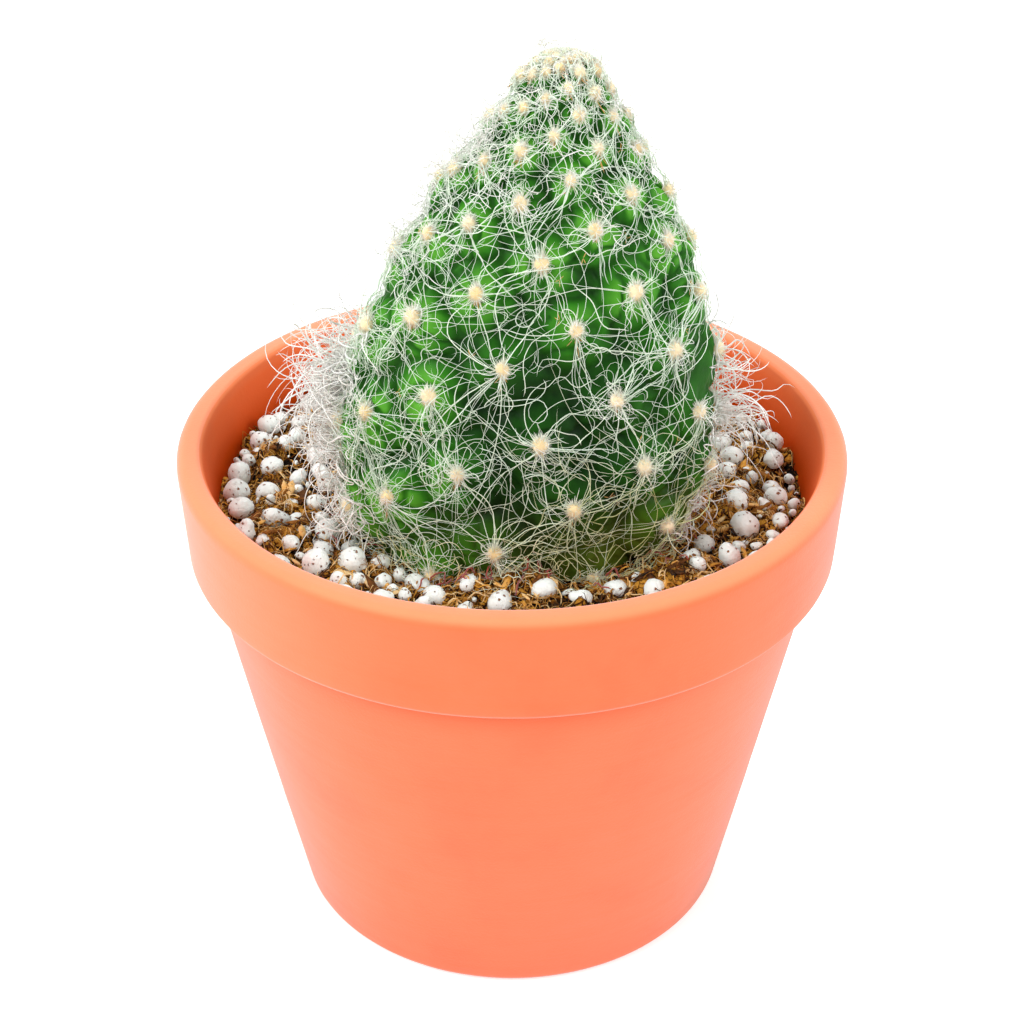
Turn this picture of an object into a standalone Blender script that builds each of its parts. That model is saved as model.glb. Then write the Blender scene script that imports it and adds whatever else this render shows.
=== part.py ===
"""A young prickly pear pad rooted in a tapered terracotta pot, with perlite in the potting mix.

Units are metres and +Z is up. The origin is the centre of the pot's underside.
The pad's flat sides face -Y and +Y.
"""

import math
import random

import bmesh
import bpy

# --- pot -----------------------------------------------------------------------------------
POT_HEIGHT = 0.0864
RIM_RADIUS = 0.0551  # the corner at the top of the rim band, before it is rounded
BAND_HEIGHT = 0.0184
BAND_FOOT_RADIUS = 0.0540
BODY_TOP_RADIUS = 0.0512  # where the body meets the rim band's underside
BODY_FOOT_RADIUS = 0.0374
WALL_THICKNESS = 0.0041  # at the lip
FLOOR_THICKNESS = 0.0050
DRAIN_RADIUS = 0.0060
LIP_OUTER_ROUND = 0.0018
LIP_INNER_ROUND = 0.0012
BAND_FOOT_ROUND = 0.0008
BASE_ROUND = 0.0020
FLOOR_ROUND = 0.0020
POT_SEGMENTS = 48
ARC_STEPS = 3  # straight pieces in each rounded corner
SHARP_ANGLE = math.radians(40)

# --- potting mix ---------------------------------------------------------------------------
SOIL_LEVEL = 0.0762
SOIL_RELIEF = 0.0014  # the highest and lowest that its surface rolls from that level
SOIL_WAVE = 0.028  # from one rise of the surface to the next
SOIL_RING_WIDTH = 0.0040
SOIL_LEVEL_EDGE = 8  # how sharply the relief dies away at the pot's wall

# --- cactus pad ----------------------------------------------------------------------------
PAD_TOP = 0.1580
PAD_FOOT = 0.0615  # the rounded lower end, buried in the mix
PAD_WIDEST = 0.0934  # height of the greatest width
PAD_THICKEST = 0.0850  # height of the greatest thickness
PAD_HALF_WIDTH = 0.0284
PAD_HALF_THICKNESS = 0.0140
TAPER = 0.68  # the share of its width that the upper part would lose by the tip if it weren't rounded
TAPER_POWER = 1.9
TIP_POWER = 3.2  # the rounding at the tip: 2 gives an ellipse, more a blunter end
FOOT_POWER = 2.0
CENTRE_X = 0.0007  # of the pad at soil level
CENTRE_Y = -0.0150
LEAN = 0.085  # sideways drift of its centre line for each metre of height
PAD_RINGS = 28
PAD_SEGMENTS = 40

# --- perlite -------------------------------------------------------------------------------
PERLITE_GRAINS = 56
LARGEST_GRAIN = 0.0027  # radius
SMALLEST_GRAIN = 0.0018
LUMPINESS = 0.12  # the deepest dent, as a share of the radius
FLATTENING = (0.80, 0.92)
NARROWING = (0.86, 1.00)
GRAIN_RISE = 0.38  # height of a grain's centre over the mix, as a share of its radius
GRAIN_SPACING = 0.0009  # least clear distance from a grain to its neighbours
GRAIN_SEED = 5

GAP = 0.0003  # clearance that touching pieces keep
CUT_GAP = 1.1 * GAP  # a grown facet lies a little nearer than its grown corners

# Worked out from the sizes above.
BODY_TOP = POT_HEIGHT - BAND_HEIGHT
BODY_SLOPE = (BODY_TOP_RADIUS - BODY_FOOT_RADIUS) / BODY_TOP


# --- helpers -------------------------------------------------------------------------------
def clear_scene():
    for obj in list(bpy.data.objects):
        bpy.data.objects.remove(obj, do_unlink=True)


def material(name, colour, roughness, metallic=0.0):
    """A Principled material from a linear RGB colour."""
    made = bpy.data.materials.new(name)
    made.use_nodes = True
    shader = made.node_tree.nodes["Principled BSDF"]
    shader.inputs["Base Color"].default_value = (*colour, 1.0)
    shader.inputs["Roughness"].default_value = roughness
    shader.inputs["Metallic"].default_value = metallic
    return made


def object_from(name, bm, made_of=None):
    """Turns a bmesh into a smooth-shaded object, with one material unless it is a cutter."""
    mesh = bpy.data.meshes.new(name)
    bmesh.ops.recalc_face_normals(bm, faces=bm.faces)
    bm.to_mesh(mesh)
    bm.free()
    mesh.shade_smooth()
    mesh.set_sharp_from_angle(angle=SHARP_ANGLE)
    obj = bpy.data.objects.new(name, mesh)
    bpy.context.scene.collection.objects.link(obj)
    if made_of:
        mesh.materials.append(made_of)
    else:
        obj.hide_render = True
        obj.display_type = "WIRE"
    return obj


def cut(target, cutter):
    modifier = target.modifiers.new(cutter.name, "BOOLEAN")
    modifier.operation = "DIFFERENCE"
    modifier.solver = "EXACT"
    modifier.object = cutter


def grow(bm, distance):
    """Moves every vertex outward along its normal."""
    bm.normal_update()
    moves = [(vert, vert.normal * distance) for vert in bm.verts]
    for vert, move in moves:
        vert.co += move


def rounded(corners):
    """The outline through (r, z, round) corners, with an arc of that radius in place of each corner.

    An arc's centre lies on the line that halves the corner, radius / sin(half the corner) away.
    """
    outline = []
    for i, (r, z, radius) in enumerate(corners):
        if radius == 0:
            outline.append((r, z))
            continue
        before, after = corners[i - 1], corners[(i + 1) % len(corners)]
        to_before = math.atan2(before[1] - z, before[0] - r)
        to_after = math.atan2(after[1] - z, after[0] - r)
        corner = (to_after - to_before + math.pi) % (2 * math.pi) - math.pi
        halfway = to_before + corner / 2
        reach = radius / math.sin(abs(corner) / 2)
        sweep = math.copysign(math.pi, corner) - corner
        for k in range(ARC_STEPS + 1):
            angle = halfway + math.pi - sweep * (k / ARC_STEPS - 0.5)
            outline.append(
                (
                    r + reach * math.cos(halfway) + radius * math.cos(angle),
                    z + reach * math.sin(halfway) + radius * math.sin(angle),
                )
            )
    return outline


def turned(outline, closed):
    """A bmesh of an (r, z) outline turned once round the Z axis."""
    bm = bmesh.new()
    verts = [bm.verts.new((r, 0.0, z)) for r, z in outline]
    followers = verts[1:] + verts[:1] if closed else verts[1:]
    edges = [bm.edges.new(pair) for pair in zip(verts, followers)]
    bmesh.ops.spin(
        bm,
        geom=verts + edges,
        cent=(0, 0, 0),
        axis=(0, 0, 1),
        angle=2 * math.pi,
        steps=POT_SEGMENTS,
        use_merge=True,
    )
    bmesh.ops.remove_doubles(bm, verts=bm.verts, dist=1e-6)
    return bm


# --- pot -----------------------------------------------------------------------------------
def inner_radius(height):
    """Radius of the pot's inside wall, which runs parallel to the body's outside."""
    return RIM_RADIUS - WALL_THICKNESS - BODY_SLOPE * (POT_HEIGHT - height)


def build_pot(terracotta):
    """The turned pot: tapered body, rim band, rounded lip and one drain hole."""
    corners = [
        (DRAIN_RADIUS, 0.0, 0),
        (BODY_FOOT_RADIUS, 0.0, BASE_ROUND),
        (BODY_TOP_RADIUS, BODY_TOP, 0),
        (BAND_FOOT_RADIUS, BODY_TOP, BAND_FOOT_ROUND),
        (RIM_RADIUS, POT_HEIGHT, LIP_OUTER_ROUND),
        (RIM_RADIUS - WALL_THICKNESS, POT_HEIGHT, LIP_INNER_ROUND),
        (inner_radius(FLOOR_THICKNESS), FLOOR_THICKNESS, FLOOR_ROUND),
        (DRAIN_RADIUS, FLOOR_THICKNESS, 0),
    ]
    return object_from("pot", turned(rounded(corners), closed=True), terracotta)


# --- potting mix ---------------------------------------------------------------------------
def relief(x, y):
    """Height of the mix over its mean level: the mean of three waves that cross each other."""
    x, y = (2 * math.pi * place / SOIL_WAVE for place in (x, y))
    waves = math.sin(x + 1) * math.cos(y) + math.sin(x + y + 2) + math.cos(x - 2 * y)
    return SOIL_RELIEF * waves / 3


def build_soil(mix):
    """The body of potting mix, which fills the pot from its floor to the soil level."""
    bottom = FLOOR_THICKNESS + GAP
    edge = inner_radius(SOIL_LEVEL) - GAP
    side = rounded(
        [
            (0.0, bottom, 0),
            (inner_radius(bottom) - GAP, bottom, FLOOR_ROUND),
            (edge, SOIL_LEVEL, 0),
        ]
    )
    rings = round(edge / SOIL_RING_WIDTH)
    top = [(edge * (1 - k / rings), SOIL_LEVEL) for k in range(1, rings + 1)]
    bm = turned(side + top, closed=False)
    for vert in bm.verts:
        if vert.co.z > SOIL_LEVEL - GAP:
            out = min(1.0, vert.co.xy.length / edge)
            vert.co.z += (1 - out**SOIL_LEVEL_EDGE) * relief(vert.co.x, vert.co.y)
    return object_from("soil", bm, mix)


# --- cactus pad ----------------------------------------------------------------------------
def closing(share, power):
    """A width that is 1 at share 0 and closes to nothing at share 1. Power 2 gives an ellipse."""
    return math.sqrt(max(0.0, 1 - share**power))


def pad_section(height):
    """Half width and half thickness of the pad's elliptical section at a height."""
    if height > PAD_WIDEST:
        share = (height - PAD_WIDEST) / (PAD_TOP - PAD_WIDEST)
        taper = 1 - TAPER * share**TAPER_POWER
        half_width = PAD_HALF_WIDTH * taper * closing(share, TIP_POWER)
    else:
        share = (PAD_WIDEST - height) / (PAD_WIDEST - PAD_FOOT)
        half_width = PAD_HALF_WIDTH * closing(share, FOOT_POWER)
    end = PAD_TOP if height > PAD_THICKEST else PAD_FOOT
    share = (height - PAD_THICKEST) / (end - PAD_THICKEST)
    return half_width, PAD_HALF_THICKNESS * closing(share, 2)


def centre_x(height):
    return CENTRE_X + LEAN * (height - SOIL_LEVEL)


def pad_bmesh(outward):
    """The pad, shaped from a sphere ring by ring, and grown outward by a clearance."""
    bm = bmesh.new()
    bmesh.ops.create_uvsphere(bm, u_segments=PAD_SEGMENTS, v_segments=PAD_RINGS, radius=1.0)
    middle = (PAD_TOP + PAD_FOOT) / 2
    for vert in bm.verts:
        height = middle + (PAD_TOP - middle) * vert.co.z
        half_width, half_thickness = pad_section(height)
        round_it = vert.co.xy.normalized()
        vert.co.x = centre_x(height) + half_width * round_it.x
        vert.co.y = CENTRE_Y + half_thickness * round_it.y
        vert.co.z = height
    grow(bm, outward)
    return bm


def build_pad(skin):
    """The one grown piece, standing about 15 mm deep in the mix."""
    return object_from("cactus_pad", pad_bmesh(0.0), skin)


def build_pad_pocket():
    return object_from("pad_pocket", pad_bmesh(CUT_GAP))


# --- perlite -------------------------------------------------------------------------------
def grain_places():
    """Places (x, y, radius) on the mix, clear of the pad, of the pot's wall and of each other.

    The tries are seeded and even over the disc of mix, and the largest grain comes first.
    """
    rng = random.Random(GRAIN_SEED)
    wall = inner_radius(SOIL_LEVEL) - GAP
    half_width, half_thickness = pad_section(SOIL_LEVEL + LARGEST_GRAIN)
    places = []
    while len(places) < PERLITE_GRAINS:
        share = len(places) / PERLITE_GRAINS
        radius = LARGEST_GRAIN + share * (SMALLEST_GRAIN - LARGEST_GRAIN)
        room = radius + GRAIN_SPACING
        out = math.sqrt(rng.random()) * (wall - room)
        angle = rng.uniform(0, 2 * math.pi)
        x, y = out * math.cos(angle), out * math.sin(angle)
        across = (x - centre_x(SOIL_LEVEL)) / (half_width + room)
        through = (y - CENTRE_Y) / (half_thickness + room)
        clear_of_pad = math.hypot(across, through) > 1
        if clear_of_pad and all(math.hypot(x - a, y - b) > room + r for a, b, r in places):
            places.append((x, y, radius))
    return places


def grain_bmesh(number, place, outward):
    """One lumpy, slightly flattened grain, a third of it sunk, and grown by a clearance."""
    x, y, radius = place
    rng = random.Random(GRAIN_SEED + number)
    flat, narrow, turn = rng.uniform(*FLATTENING), rng.uniform(*NARROWING), rng.uniform(0, math.pi)
    cos, sin = math.cos(turn), math.sin(turn)
    height = SOIL_LEVEL + relief(x, y) + GRAIN_RISE * radius
    bm = bmesh.new()
    bmesh.ops.create_icosphere(bm, subdivisions=2, radius=radius)
    for vert in bm.verts:
        a, b, c = vert.co * (1 - rng.uniform(0, LUMPINESS))
        b *= narrow
        vert.co = (x + a * cos - b * sin, y + a * sin + b * cos, height + c * flat)
    grow(bm, outward)
    return bm


def build_perlite(stone):
    """The separate grains that lie on the mix."""
    for number, place in enumerate(grain_places(), start=1):
        object_from(f"perlite_{number:02d}", grain_bmesh(number, place, 0.0), stone)


def build_perlite_sockets():
    """The cutter for the hollows under the grains."""
    joined = bmesh.new()
    for number, place in enumerate(grain_places(), start=1):
        bm = grain_bmesh(number, place, CUT_GAP)
        mesh = bpy.data.meshes.new("grain")
        bm.to_mesh(mesh)
        bm.free()
        joined.from_mesh(mesh)
        bpy.data.meshes.remove(mesh)
    return object_from("perlite_sockets", joined)


def main():
    clear_scene()
    build_pot(material("terracotta", (0.78, 0.24, 0.12), 0.75))
    soil = build_soil(material("potting_mix", (0.13, 0.06, 0.02), 0.95))
    build_pad(material("cactus_skin", (0.045, 0.22, 0.03), 0.45))
    build_perlite(material("perlite", (0.80, 0.78, 0.74), 0.85))
    cut(soil, build_pad_pocket())
    cut(soil, build_perlite_sockets())


main()
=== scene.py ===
"""A potted prickly pear: the finish of every surface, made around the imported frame.

Metres, +Z up. The flat sides of the plant's pad face -Y and +Y, and the camera looks along +Y.
"""

import itertools
import math

import bpy
import numpy as np
from bpy.props import FloatProperty, FloatVectorProperty, IntProperty, PointerProperty
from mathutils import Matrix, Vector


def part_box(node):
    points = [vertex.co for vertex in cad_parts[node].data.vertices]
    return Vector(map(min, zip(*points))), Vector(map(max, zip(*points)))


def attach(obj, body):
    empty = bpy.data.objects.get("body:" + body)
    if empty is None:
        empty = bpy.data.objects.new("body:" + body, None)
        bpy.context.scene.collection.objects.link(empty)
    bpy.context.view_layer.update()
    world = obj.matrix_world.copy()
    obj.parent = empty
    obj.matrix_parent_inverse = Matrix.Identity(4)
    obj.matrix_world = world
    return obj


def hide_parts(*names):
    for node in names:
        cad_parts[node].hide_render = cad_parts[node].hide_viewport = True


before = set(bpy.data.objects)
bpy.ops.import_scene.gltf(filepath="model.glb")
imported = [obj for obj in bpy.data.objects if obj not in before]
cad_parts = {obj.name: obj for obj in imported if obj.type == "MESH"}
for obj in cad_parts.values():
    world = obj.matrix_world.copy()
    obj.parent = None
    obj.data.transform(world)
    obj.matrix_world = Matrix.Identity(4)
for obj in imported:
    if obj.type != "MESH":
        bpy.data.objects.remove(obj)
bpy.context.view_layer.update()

bl_info = {
    "name": "Potted prickly pear",
    "version": (1, 0, 0),
    "blender": (4, 5, 0),
    "location": "3D View > Sidebar > Cactus",
    "description": "A young prickly pear pad with its hair, rooted in a terracotta pot",
    "category": "Add Mesh",
}

GRAIN_NODES = sorted(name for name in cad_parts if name.startswith("perlite_"))
POT_LOW, POT_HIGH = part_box("pot")
PAD_LOW, PAD_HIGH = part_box("cactus_pad")
MM = 0.001
TURN = 2 * math.pi
SEEDS = {
    "mix": 31,
    "perlite": 41,
    "areoles": 51,
    "hair": 71,
    "fine": 78,
    "bristles": 81,
    "wool": 91,
}  # of the random draws; the noises have their own
TIP_TRIM = 0.0010  # how far the skin's tip is below the frame's, which its hair reaches
MIX_LEVEL = 0.0762  # mean height of the mix's surface


# --- sizes and colours -----------------------------------------------------------------------
def linear(hex_colour):
    """A #RRGGBB sRGB colour as linear red, green and blue."""
    parts = [int(hex_colour[i : i + 2], 16) / 255 for i in (1, 3, 5)]
    return tuple(c / 12.92 if c <= 0.04045 else ((c + 0.055) / 1.055) ** 2.4 for c in parts)


def length(name, description, default):
    """A size in metres."""
    return FloatProperty(
        name=name, description=description, default=default, unit="LENGTH", precision=5
    )


def share(name, description, default):
    """A plain number."""
    return FloatProperty(name=name, description=description, default=default, precision=3)


def count(name, description, default):
    """A whole number of things."""
    return IntProperty(name=name, description=description, default=default, min=0)


def angle(name, description, degrees):
    """An angle, given in degrees and held in radians."""
    default = math.radians(degrees)
    return FloatProperty(name=name, description=description, default=default, unit="ROTATION")


def colour(name, description, hex_colour):
    """A colour, given as #RRGGBB."""
    default = linear(hex_colour)
    return FloatVectorProperty(
        name=name, description=description, default=default, subtype="COLOR", min=0, max=1
    )


class CactusPot(bpy.types.PropertyGroup):
    height: length("Height", "From the underside to the lip", POT_HIGH[2])
    rim_radius: length("Rim radius", "Corner of the rim band before its lip is rounded", 0.0551)
    band_height: length("Band height", "Height of the rim band", 0.0184)
    band_foot_radius: length("Band foot radius", "Lower edge of the rim band", 0.0540)
    body_top_radius: length("Body top radius", "Where the body meets the band", 0.0512)
    body_foot_radius: length("Body foot radius", "Outer radius of the base", 0.0374)
    wall: length("Wall", "Thickness of the wall at the lip", 0.0041)
    floor: length("Floor", "Thickness of the floor", 0.0050)
    drain_radius: length("Drain radius", "Radius of the drain hole", 0.0060)
    clay: colour("Clay", "Fired clay", "#FB7642")
    clay_pale: colour("Pale clay", "Where the firing left it paler", "#FD7F4D")
    clay_deep: colour("Deep clay", "Where the clay is redder", "#F76E3A")
    # Painted shade, reddened by a painted reflection of the orange walls: it colours the inside wall
    # and the clay under the band.
    clay_painted_shade: colour("Damp clay", "Inside, beside the mix", "#D24902")
    # Painted highlight, on the lip and on the band's left side.
    clay_highlight: colour("Rubbed clay", "Chalky clay along the lip", "#FD8E5E")


class CactusMix(bpy.types.PropertyGroup):
    level: length("Level", "Mean height of the mix's surface", MIX_LEVEL)
    relief: length("Relief", "How far its surface rolls from that level", 0.0014)
    wave: length("Wave", "From one rise of the surface to the next", 0.028)
    fibres: count("Fibres", "Coir fibres lying on the mix", 5200)
    crumbs: count("Crumbs", "Bits of peat and bark on the mix", 3400)
    dry_bristles: count("Dry bristles", "Bristles that fell from the plant", 60)
    middling_grains: count("Middling grains", "Perlite grains beside the ones of the frame", 200)
    small_grains: count("Small grains", "Shards of perlite", 150)
    # Painted shade in the loose mix's gaps and low places; the darkest coir fibres take it as their
    # own tone.
    gap_colour: colour("Gaps", "Peat in the gaps between the fibres", "#140903")
    peat_colour: colour("Peat", "Damp peat and bark", "#7D4812")
    coir_colour: colour("Coir", "Dry coir fibre", "#DC9C3A")
    straw_colour: colour("Straw", "The palest coir", "#F0CD94")
    perlite_colour: colour("Perlite", "Clean perlite", "#F8FFFB")
    stain_colour: colour("Stain", "Pits and stains in the perlite", "#8A5528")


class CactusPlant(bpy.types.PropertyGroup):
    top: length("Top", "Height of the pad's tip", PAD_HIGH[2] - TIP_TRIM)
    foot: length("Foot", "Lower end of the pad, in the mix", PAD_LOW[2])
    widest: length("Widest", "Height of the greatest width", 0.0934)
    thickest: length("Thickest", "Height of the greatest thickness", 0.0850)
    half_width: length("Half width", "Half the greatest width", 0.0284)
    half_thickness: length(
        "Half thickness", "Half the greatest thickness", (PAD_HIGH[1] - PAD_LOW[1]) / 2
    )
    centre_x: length("Centre X", "Middle of the pad at the level of the mix", 0.0007)
    centre_y: length("Centre Y", "Middle of the pad's thickness", (PAD_HIGH[1] + PAD_LOW[1]) / 2)
    lean: share("Lean", "Sideways drift for each metre of height", 0.085)
    whorl: count("Whorl", "Areoles in each ring round the pad", 6)
    twist: angle("Twist", "Turn from each ring of areoles to the next", 23.35)
    phase: angle("Phase", "Place of the first areole, from the front", 14.90)
    ring_step: length("Ring step", "From ring to ring on full-grown skin", 0.00680)
    young_zone: length("Young zone", "Distance from the tip over which the rings spread", 0.0234)
    hairs: count("Hairs", "Long hairs of a full-grown areole", 19)
    netted_hairs: count("Netted hairs", "Curly hairs that lie anywhere on the skin", 1350)
    fine_hairs: count("Fine hairs", "Fine hairs that stand out from the skin", 1000)
    hair_length: length("Hair length", "Mean length of the long hairs", 0.0125)
    hair_radius: length("Hair radius", "Radius of a long hair at its root", 0.000062)
    skin: colour("Skin", "Sound green skin", "#2C7615")
    # Painted highlight on the tubercles' crests.
    skin_crest_highlight: colour("Crest", "Skin on the crests of the tubercles", "#5EAD34")
    # Painted shade in the grooves and creases.
    skin_groove_shade: colour("Groove", "Skin in the grooves", "#072807")
    skin_old: colour("Cork", "Corky skin at the foot", "#66701E")
    hair: colour("Hair", "Long hair", "#F0FFEE")
    hair_old: colour("Old hair", "Hair low on the right", "#CFCF80")
    felt: colour("Felt", "Felt of the areoles", "#F6D58B")
    gold: colour("Gold", "Glochids", "#E6B45C")
    gold_deep: colour("Deep gold", "The deepest of the glochids", "#CE8B3A")
    bristle: colour("Bristle", "Tips of the areoles' bristles", "#FFFBEC")
    wool: colour("Wool", "Fine hair, and wool at the pad's edges and tip", "#FFFFFC")
    wool_deep: colour("Deep wool", "The least white of that wool", "#F6F1E6")
    foot_wool: colour("Foot wool", "Wool at the pad's foot", "#EFE6BE")
    dry: colour("Dry", "Dry bristles at the pad's foot", "#9C3B26")
    dry_deep: colour("Deep dry", "The reddest of those bristles", "#A5301C")


class CactusStage(bpy.types.PropertyGroup):
    elevation: angle("Elevation", "How steeply the camera looks down", 31.8)
    distance: length("Distance", "From the camera to the point it looks at", 0.38165)
    target: length("Target", "Height of the point it looks at", 0.07117)
    lens: FloatProperty(name="Lens", description="Focal length", default=79.72, unit="CAMERA")


# --- meshes ----------------------------------------------------------------------------------
def add_piece(name, points, faces, finish, nodes=(), marks=None):
    """A smooth piece that rides on the pot's body.

    points is (n, 3), faces a list of index arrays with 3 or 4 columns, and marks are numbers for
    each point that its material reads by name.
    """
    mesh = bpy.data.meshes.new(name)
    corners = np.concatenate([f.ravel() for f in faces])
    sizes = np.concatenate([np.full(len(f), f.shape[1]) for f in faces])
    mesh.vertices.add(len(points))
    mesh.vertices.foreach_set("co", np.asarray(points, np.float32).ravel())
    mesh.loops.add(len(corners))
    mesh.loops.foreach_set("vertex_index", corners.astype(np.int32))
    mesh.polygons.add(len(sizes))
    mesh.polygons.foreach_set("loop_start", (np.cumsum(sizes) - sizes).astype(np.int32))
    mesh.update(calc_edges=True)
    mesh.shade_smooth()
    for key, values in (marks or {}).items():
        mark = mesh.attributes.new(key, "FLOAT", "POINT")
        mark.data.foreach_set("value", np.asarray(values, np.float32).ravel())
    mesh.materials.append(finish)
    piece = bpy.data.objects.new(name, mesh)
    bpy.context.scene.collection.objects.link(piece)
    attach(piece, "root")
    if nodes:
        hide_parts(*nodes)
    return piece


def ring_quads(rows, columns, closed=False):
    """Quads between the rows of a grid whose columns run round.

    closed joins the last row to the first.
    """
    row = np.arange(rows if closed else rows - 1)[:, None] * columns
    column = np.arange(columns)[None, :]
    beside = (column + 1) % columns
    below = (row + columns) % (rows * columns)
    return np.stack([row + column, below + column, below + beside, row + beside], -1).reshape(-1, 4)


def capped(rows, columns, copies=1):
    """Faces of shapes that each have a first point, rows of columns points and a last point.

    The first point closes the first row with a fan, and the last point the last row.
    """
    column = np.arange(columns)
    beside = (column + 1) % columns
    last_row = 1 + (rows - 1) * columns
    first_fan = np.stack([np.zeros_like(column), 1 + column, 1 + beside], -1)
    last_point = np.full_like(column, last_row + columns)
    last_fan = np.stack([last_point, last_row + beside, last_row + column], -1)
    step = np.arange(copies)[:, None, None] * (rows * columns + 2)
    quads = (ring_quads(rows, columns) + 1)[None] + step
    fans = np.concatenate([first_fan, last_fan])[None] + step
    return [quads.reshape(-1, 4), fans.reshape(-1, 3)]


NOISE_TABLE = 32  # values along each side of the lattice, after which it repeats


def noise(points, size, seed):
    """Smooth noise from -1 to 1: random values on a cubic lattice of that size, eased between."""
    table = np.random.default_rng(seed).uniform(-1, 1, (NOISE_TABLE, NOISE_TABLE, NOISE_TABLE))
    low = np.floor(points / size).astype(int)
    part = points / size - low
    part = part * part * (3 - 2 * part)
    total = 0
    for corner in itertools.product((0, 1), repeat=3):
        weight = np.prod(np.where(corner, part, 1 - part), axis=-1)
        x, y, z = np.moveaxis((low + corner) % NOISE_TABLE, -1, 0)
        total = total + weight * table[x, y, z]
    return total


def unit(vectors):
    """Each vector over its length."""
    return vectors / np.maximum(np.linalg.norm(vectors, axis=-1, keepdims=True), 1e-12)


def ease(low, high, value):
    """0 below low, 1 above high and a smooth step between."""
    part = np.clip((value - low) / (high - low), 0, 1)
    return part * part * (3 - 2 * part)


def strands(paths, radii, sides=3):
    """Points and faces of one thin closed tube along each path, pointed at both ends.

    paths is (strands, steps, 3) and radii (strands, steps). Each inner step carries a ring of
    sides points round the path's own direction; its first and last steps are the two points. The
    ring's zero direction is handed on from step to step, less its part along the path, so that a
    tube never twists.
    """
    along = unit(np.gradient(paths, axis=1))
    guide = np.where(np.abs(along[:, 0, 2:]) < 0.9, [0.0, 0.0, 1.0], [1.0, 0.0, 0.0])
    carried = [unit(np.cross(along[:, 0], guide))]
    for way in np.moveaxis(along, 1, 0)[1:]:
        carried.append(unit(carried[-1] - (carried[-1] * way).sum(-1, keepdims=True) * way))
    across = np.stack(carried, 1)
    over = np.cross(along, across)
    turn = TURN * np.arange(sides) / sides
    ring = across[:, :, None] * np.cos(turn)[:, None] + over[:, :, None] * np.sin(turn)[:, None]
    rings = paths[:, 1:-1, None] + ring[:, 1:-1] * radii[:, 1:-1, None, None]
    number, steps = paths.shape[:2]
    points = np.concatenate([paths[:, :1], rings.reshape(number, -1, 3), paths[:, -1:]], axis=1)
    return points.reshape(-1, 3), capped(steps - 2, sides, number)


def per_point(values, steps, sides=3):
    """One number a strand, or one a step, spread over the points of its tube."""
    values = np.broadcast_to(np.asarray(values).reshape(len(values), -1), (len(values), steps))
    inner = np.repeat(values[:, 1:-1], sides, axis=1)
    return np.concatenate([values[:, :1], inner, values[:, -1:]], axis=1).ravel()


def add_strands(name, paths, radii, tone, finish):
    """A piece of one tube along each path.

    The radius is one number, or one for each step of each strand. The tone, which its material
    reads, is one number for each strand, or one for each of its steps.
    """
    points, faces = strands(paths, np.broadcast_to(radii, paths.shape[:2]))
    marks = {"tone": per_point(tone, paths.shape[1])}
    add_piece(name, points, faces, finish, marks=marks)


# --- materials -------------------------------------------------------------------------------
FACTOR, COLOUR_A, COLOUR_B, MIXED = 0, 6, 7, 2  # a colour mixing node's sockets and its result


def add(tree, kind, inputs=None, stops=None, out=0, **settings):
    """Adds a shader node, and returns the output that is asked for, or the only one or first.

    inputs are its sockets' values or links, stops its colour stops, and the rest its settings.
    """
    made = tree.nodes.new("ShaderNode" + kind)
    for key, value in settings.items():
        setattr(made, key, value)
    for key, value in (inputs or {}).items():
        if isinstance(value, bpy.types.NodeSocket):
            tree.links.new(value, made.inputs[key])
        else:
            made.inputs[key].default_value = value
    if stops:
        marks = made.color_ramp.elements
        while len(marks) < len(stops):
            marks.new(1.0)
        for mark, (place, tint) in zip(marks, stops):
            mark.position = place
            mark.color = (*tint, 1.0)
    return made.outputs[out] if made.outputs else None


def new_material(name):
    """An empty material, its tree, and the object's own coordinates in metres."""
    made = bpy.data.materials.new(name)
    made.use_nodes = True
    made.node_tree.nodes.clear()
    coords = add(made.node_tree, "TexCoord", out="Object")
    return made, made.node_tree, coords


def pulled(tree, coords, size, detail):
    """The coordinates, moved each way by up to size by noise of that size."""
    inputs = {"Vector": coords, "Scale": 1 / size, "Detail": detail}
    pull = add(tree, "TexNoise", inputs, out="Color")
    inputs = {0: pull, 1: (size, size, size), 2: coords}
    return add(tree, "VectorMath", inputs, operation="MULTIPLY_ADD")


def finish_material(tree, base, height, bump_depth, **constants):
    """Joins base colour, bump and constants into a Principled surface.

    bump_depth is the real depth in metres that a height of 1 stands for.
    """
    bump = add(tree, "Bump", {"Height": height, "Distance": bump_depth, "Strength": 1.0})
    inputs = {"Base Color": base, "Normal": bump}
    inputs.update({key.replace("_", " "): value for key, value in constants.items()})
    shader = add(tree, "BsdfPrincipled", inputs)
    add(tree, "OutputMaterial", {"Surface": shader})


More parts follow.
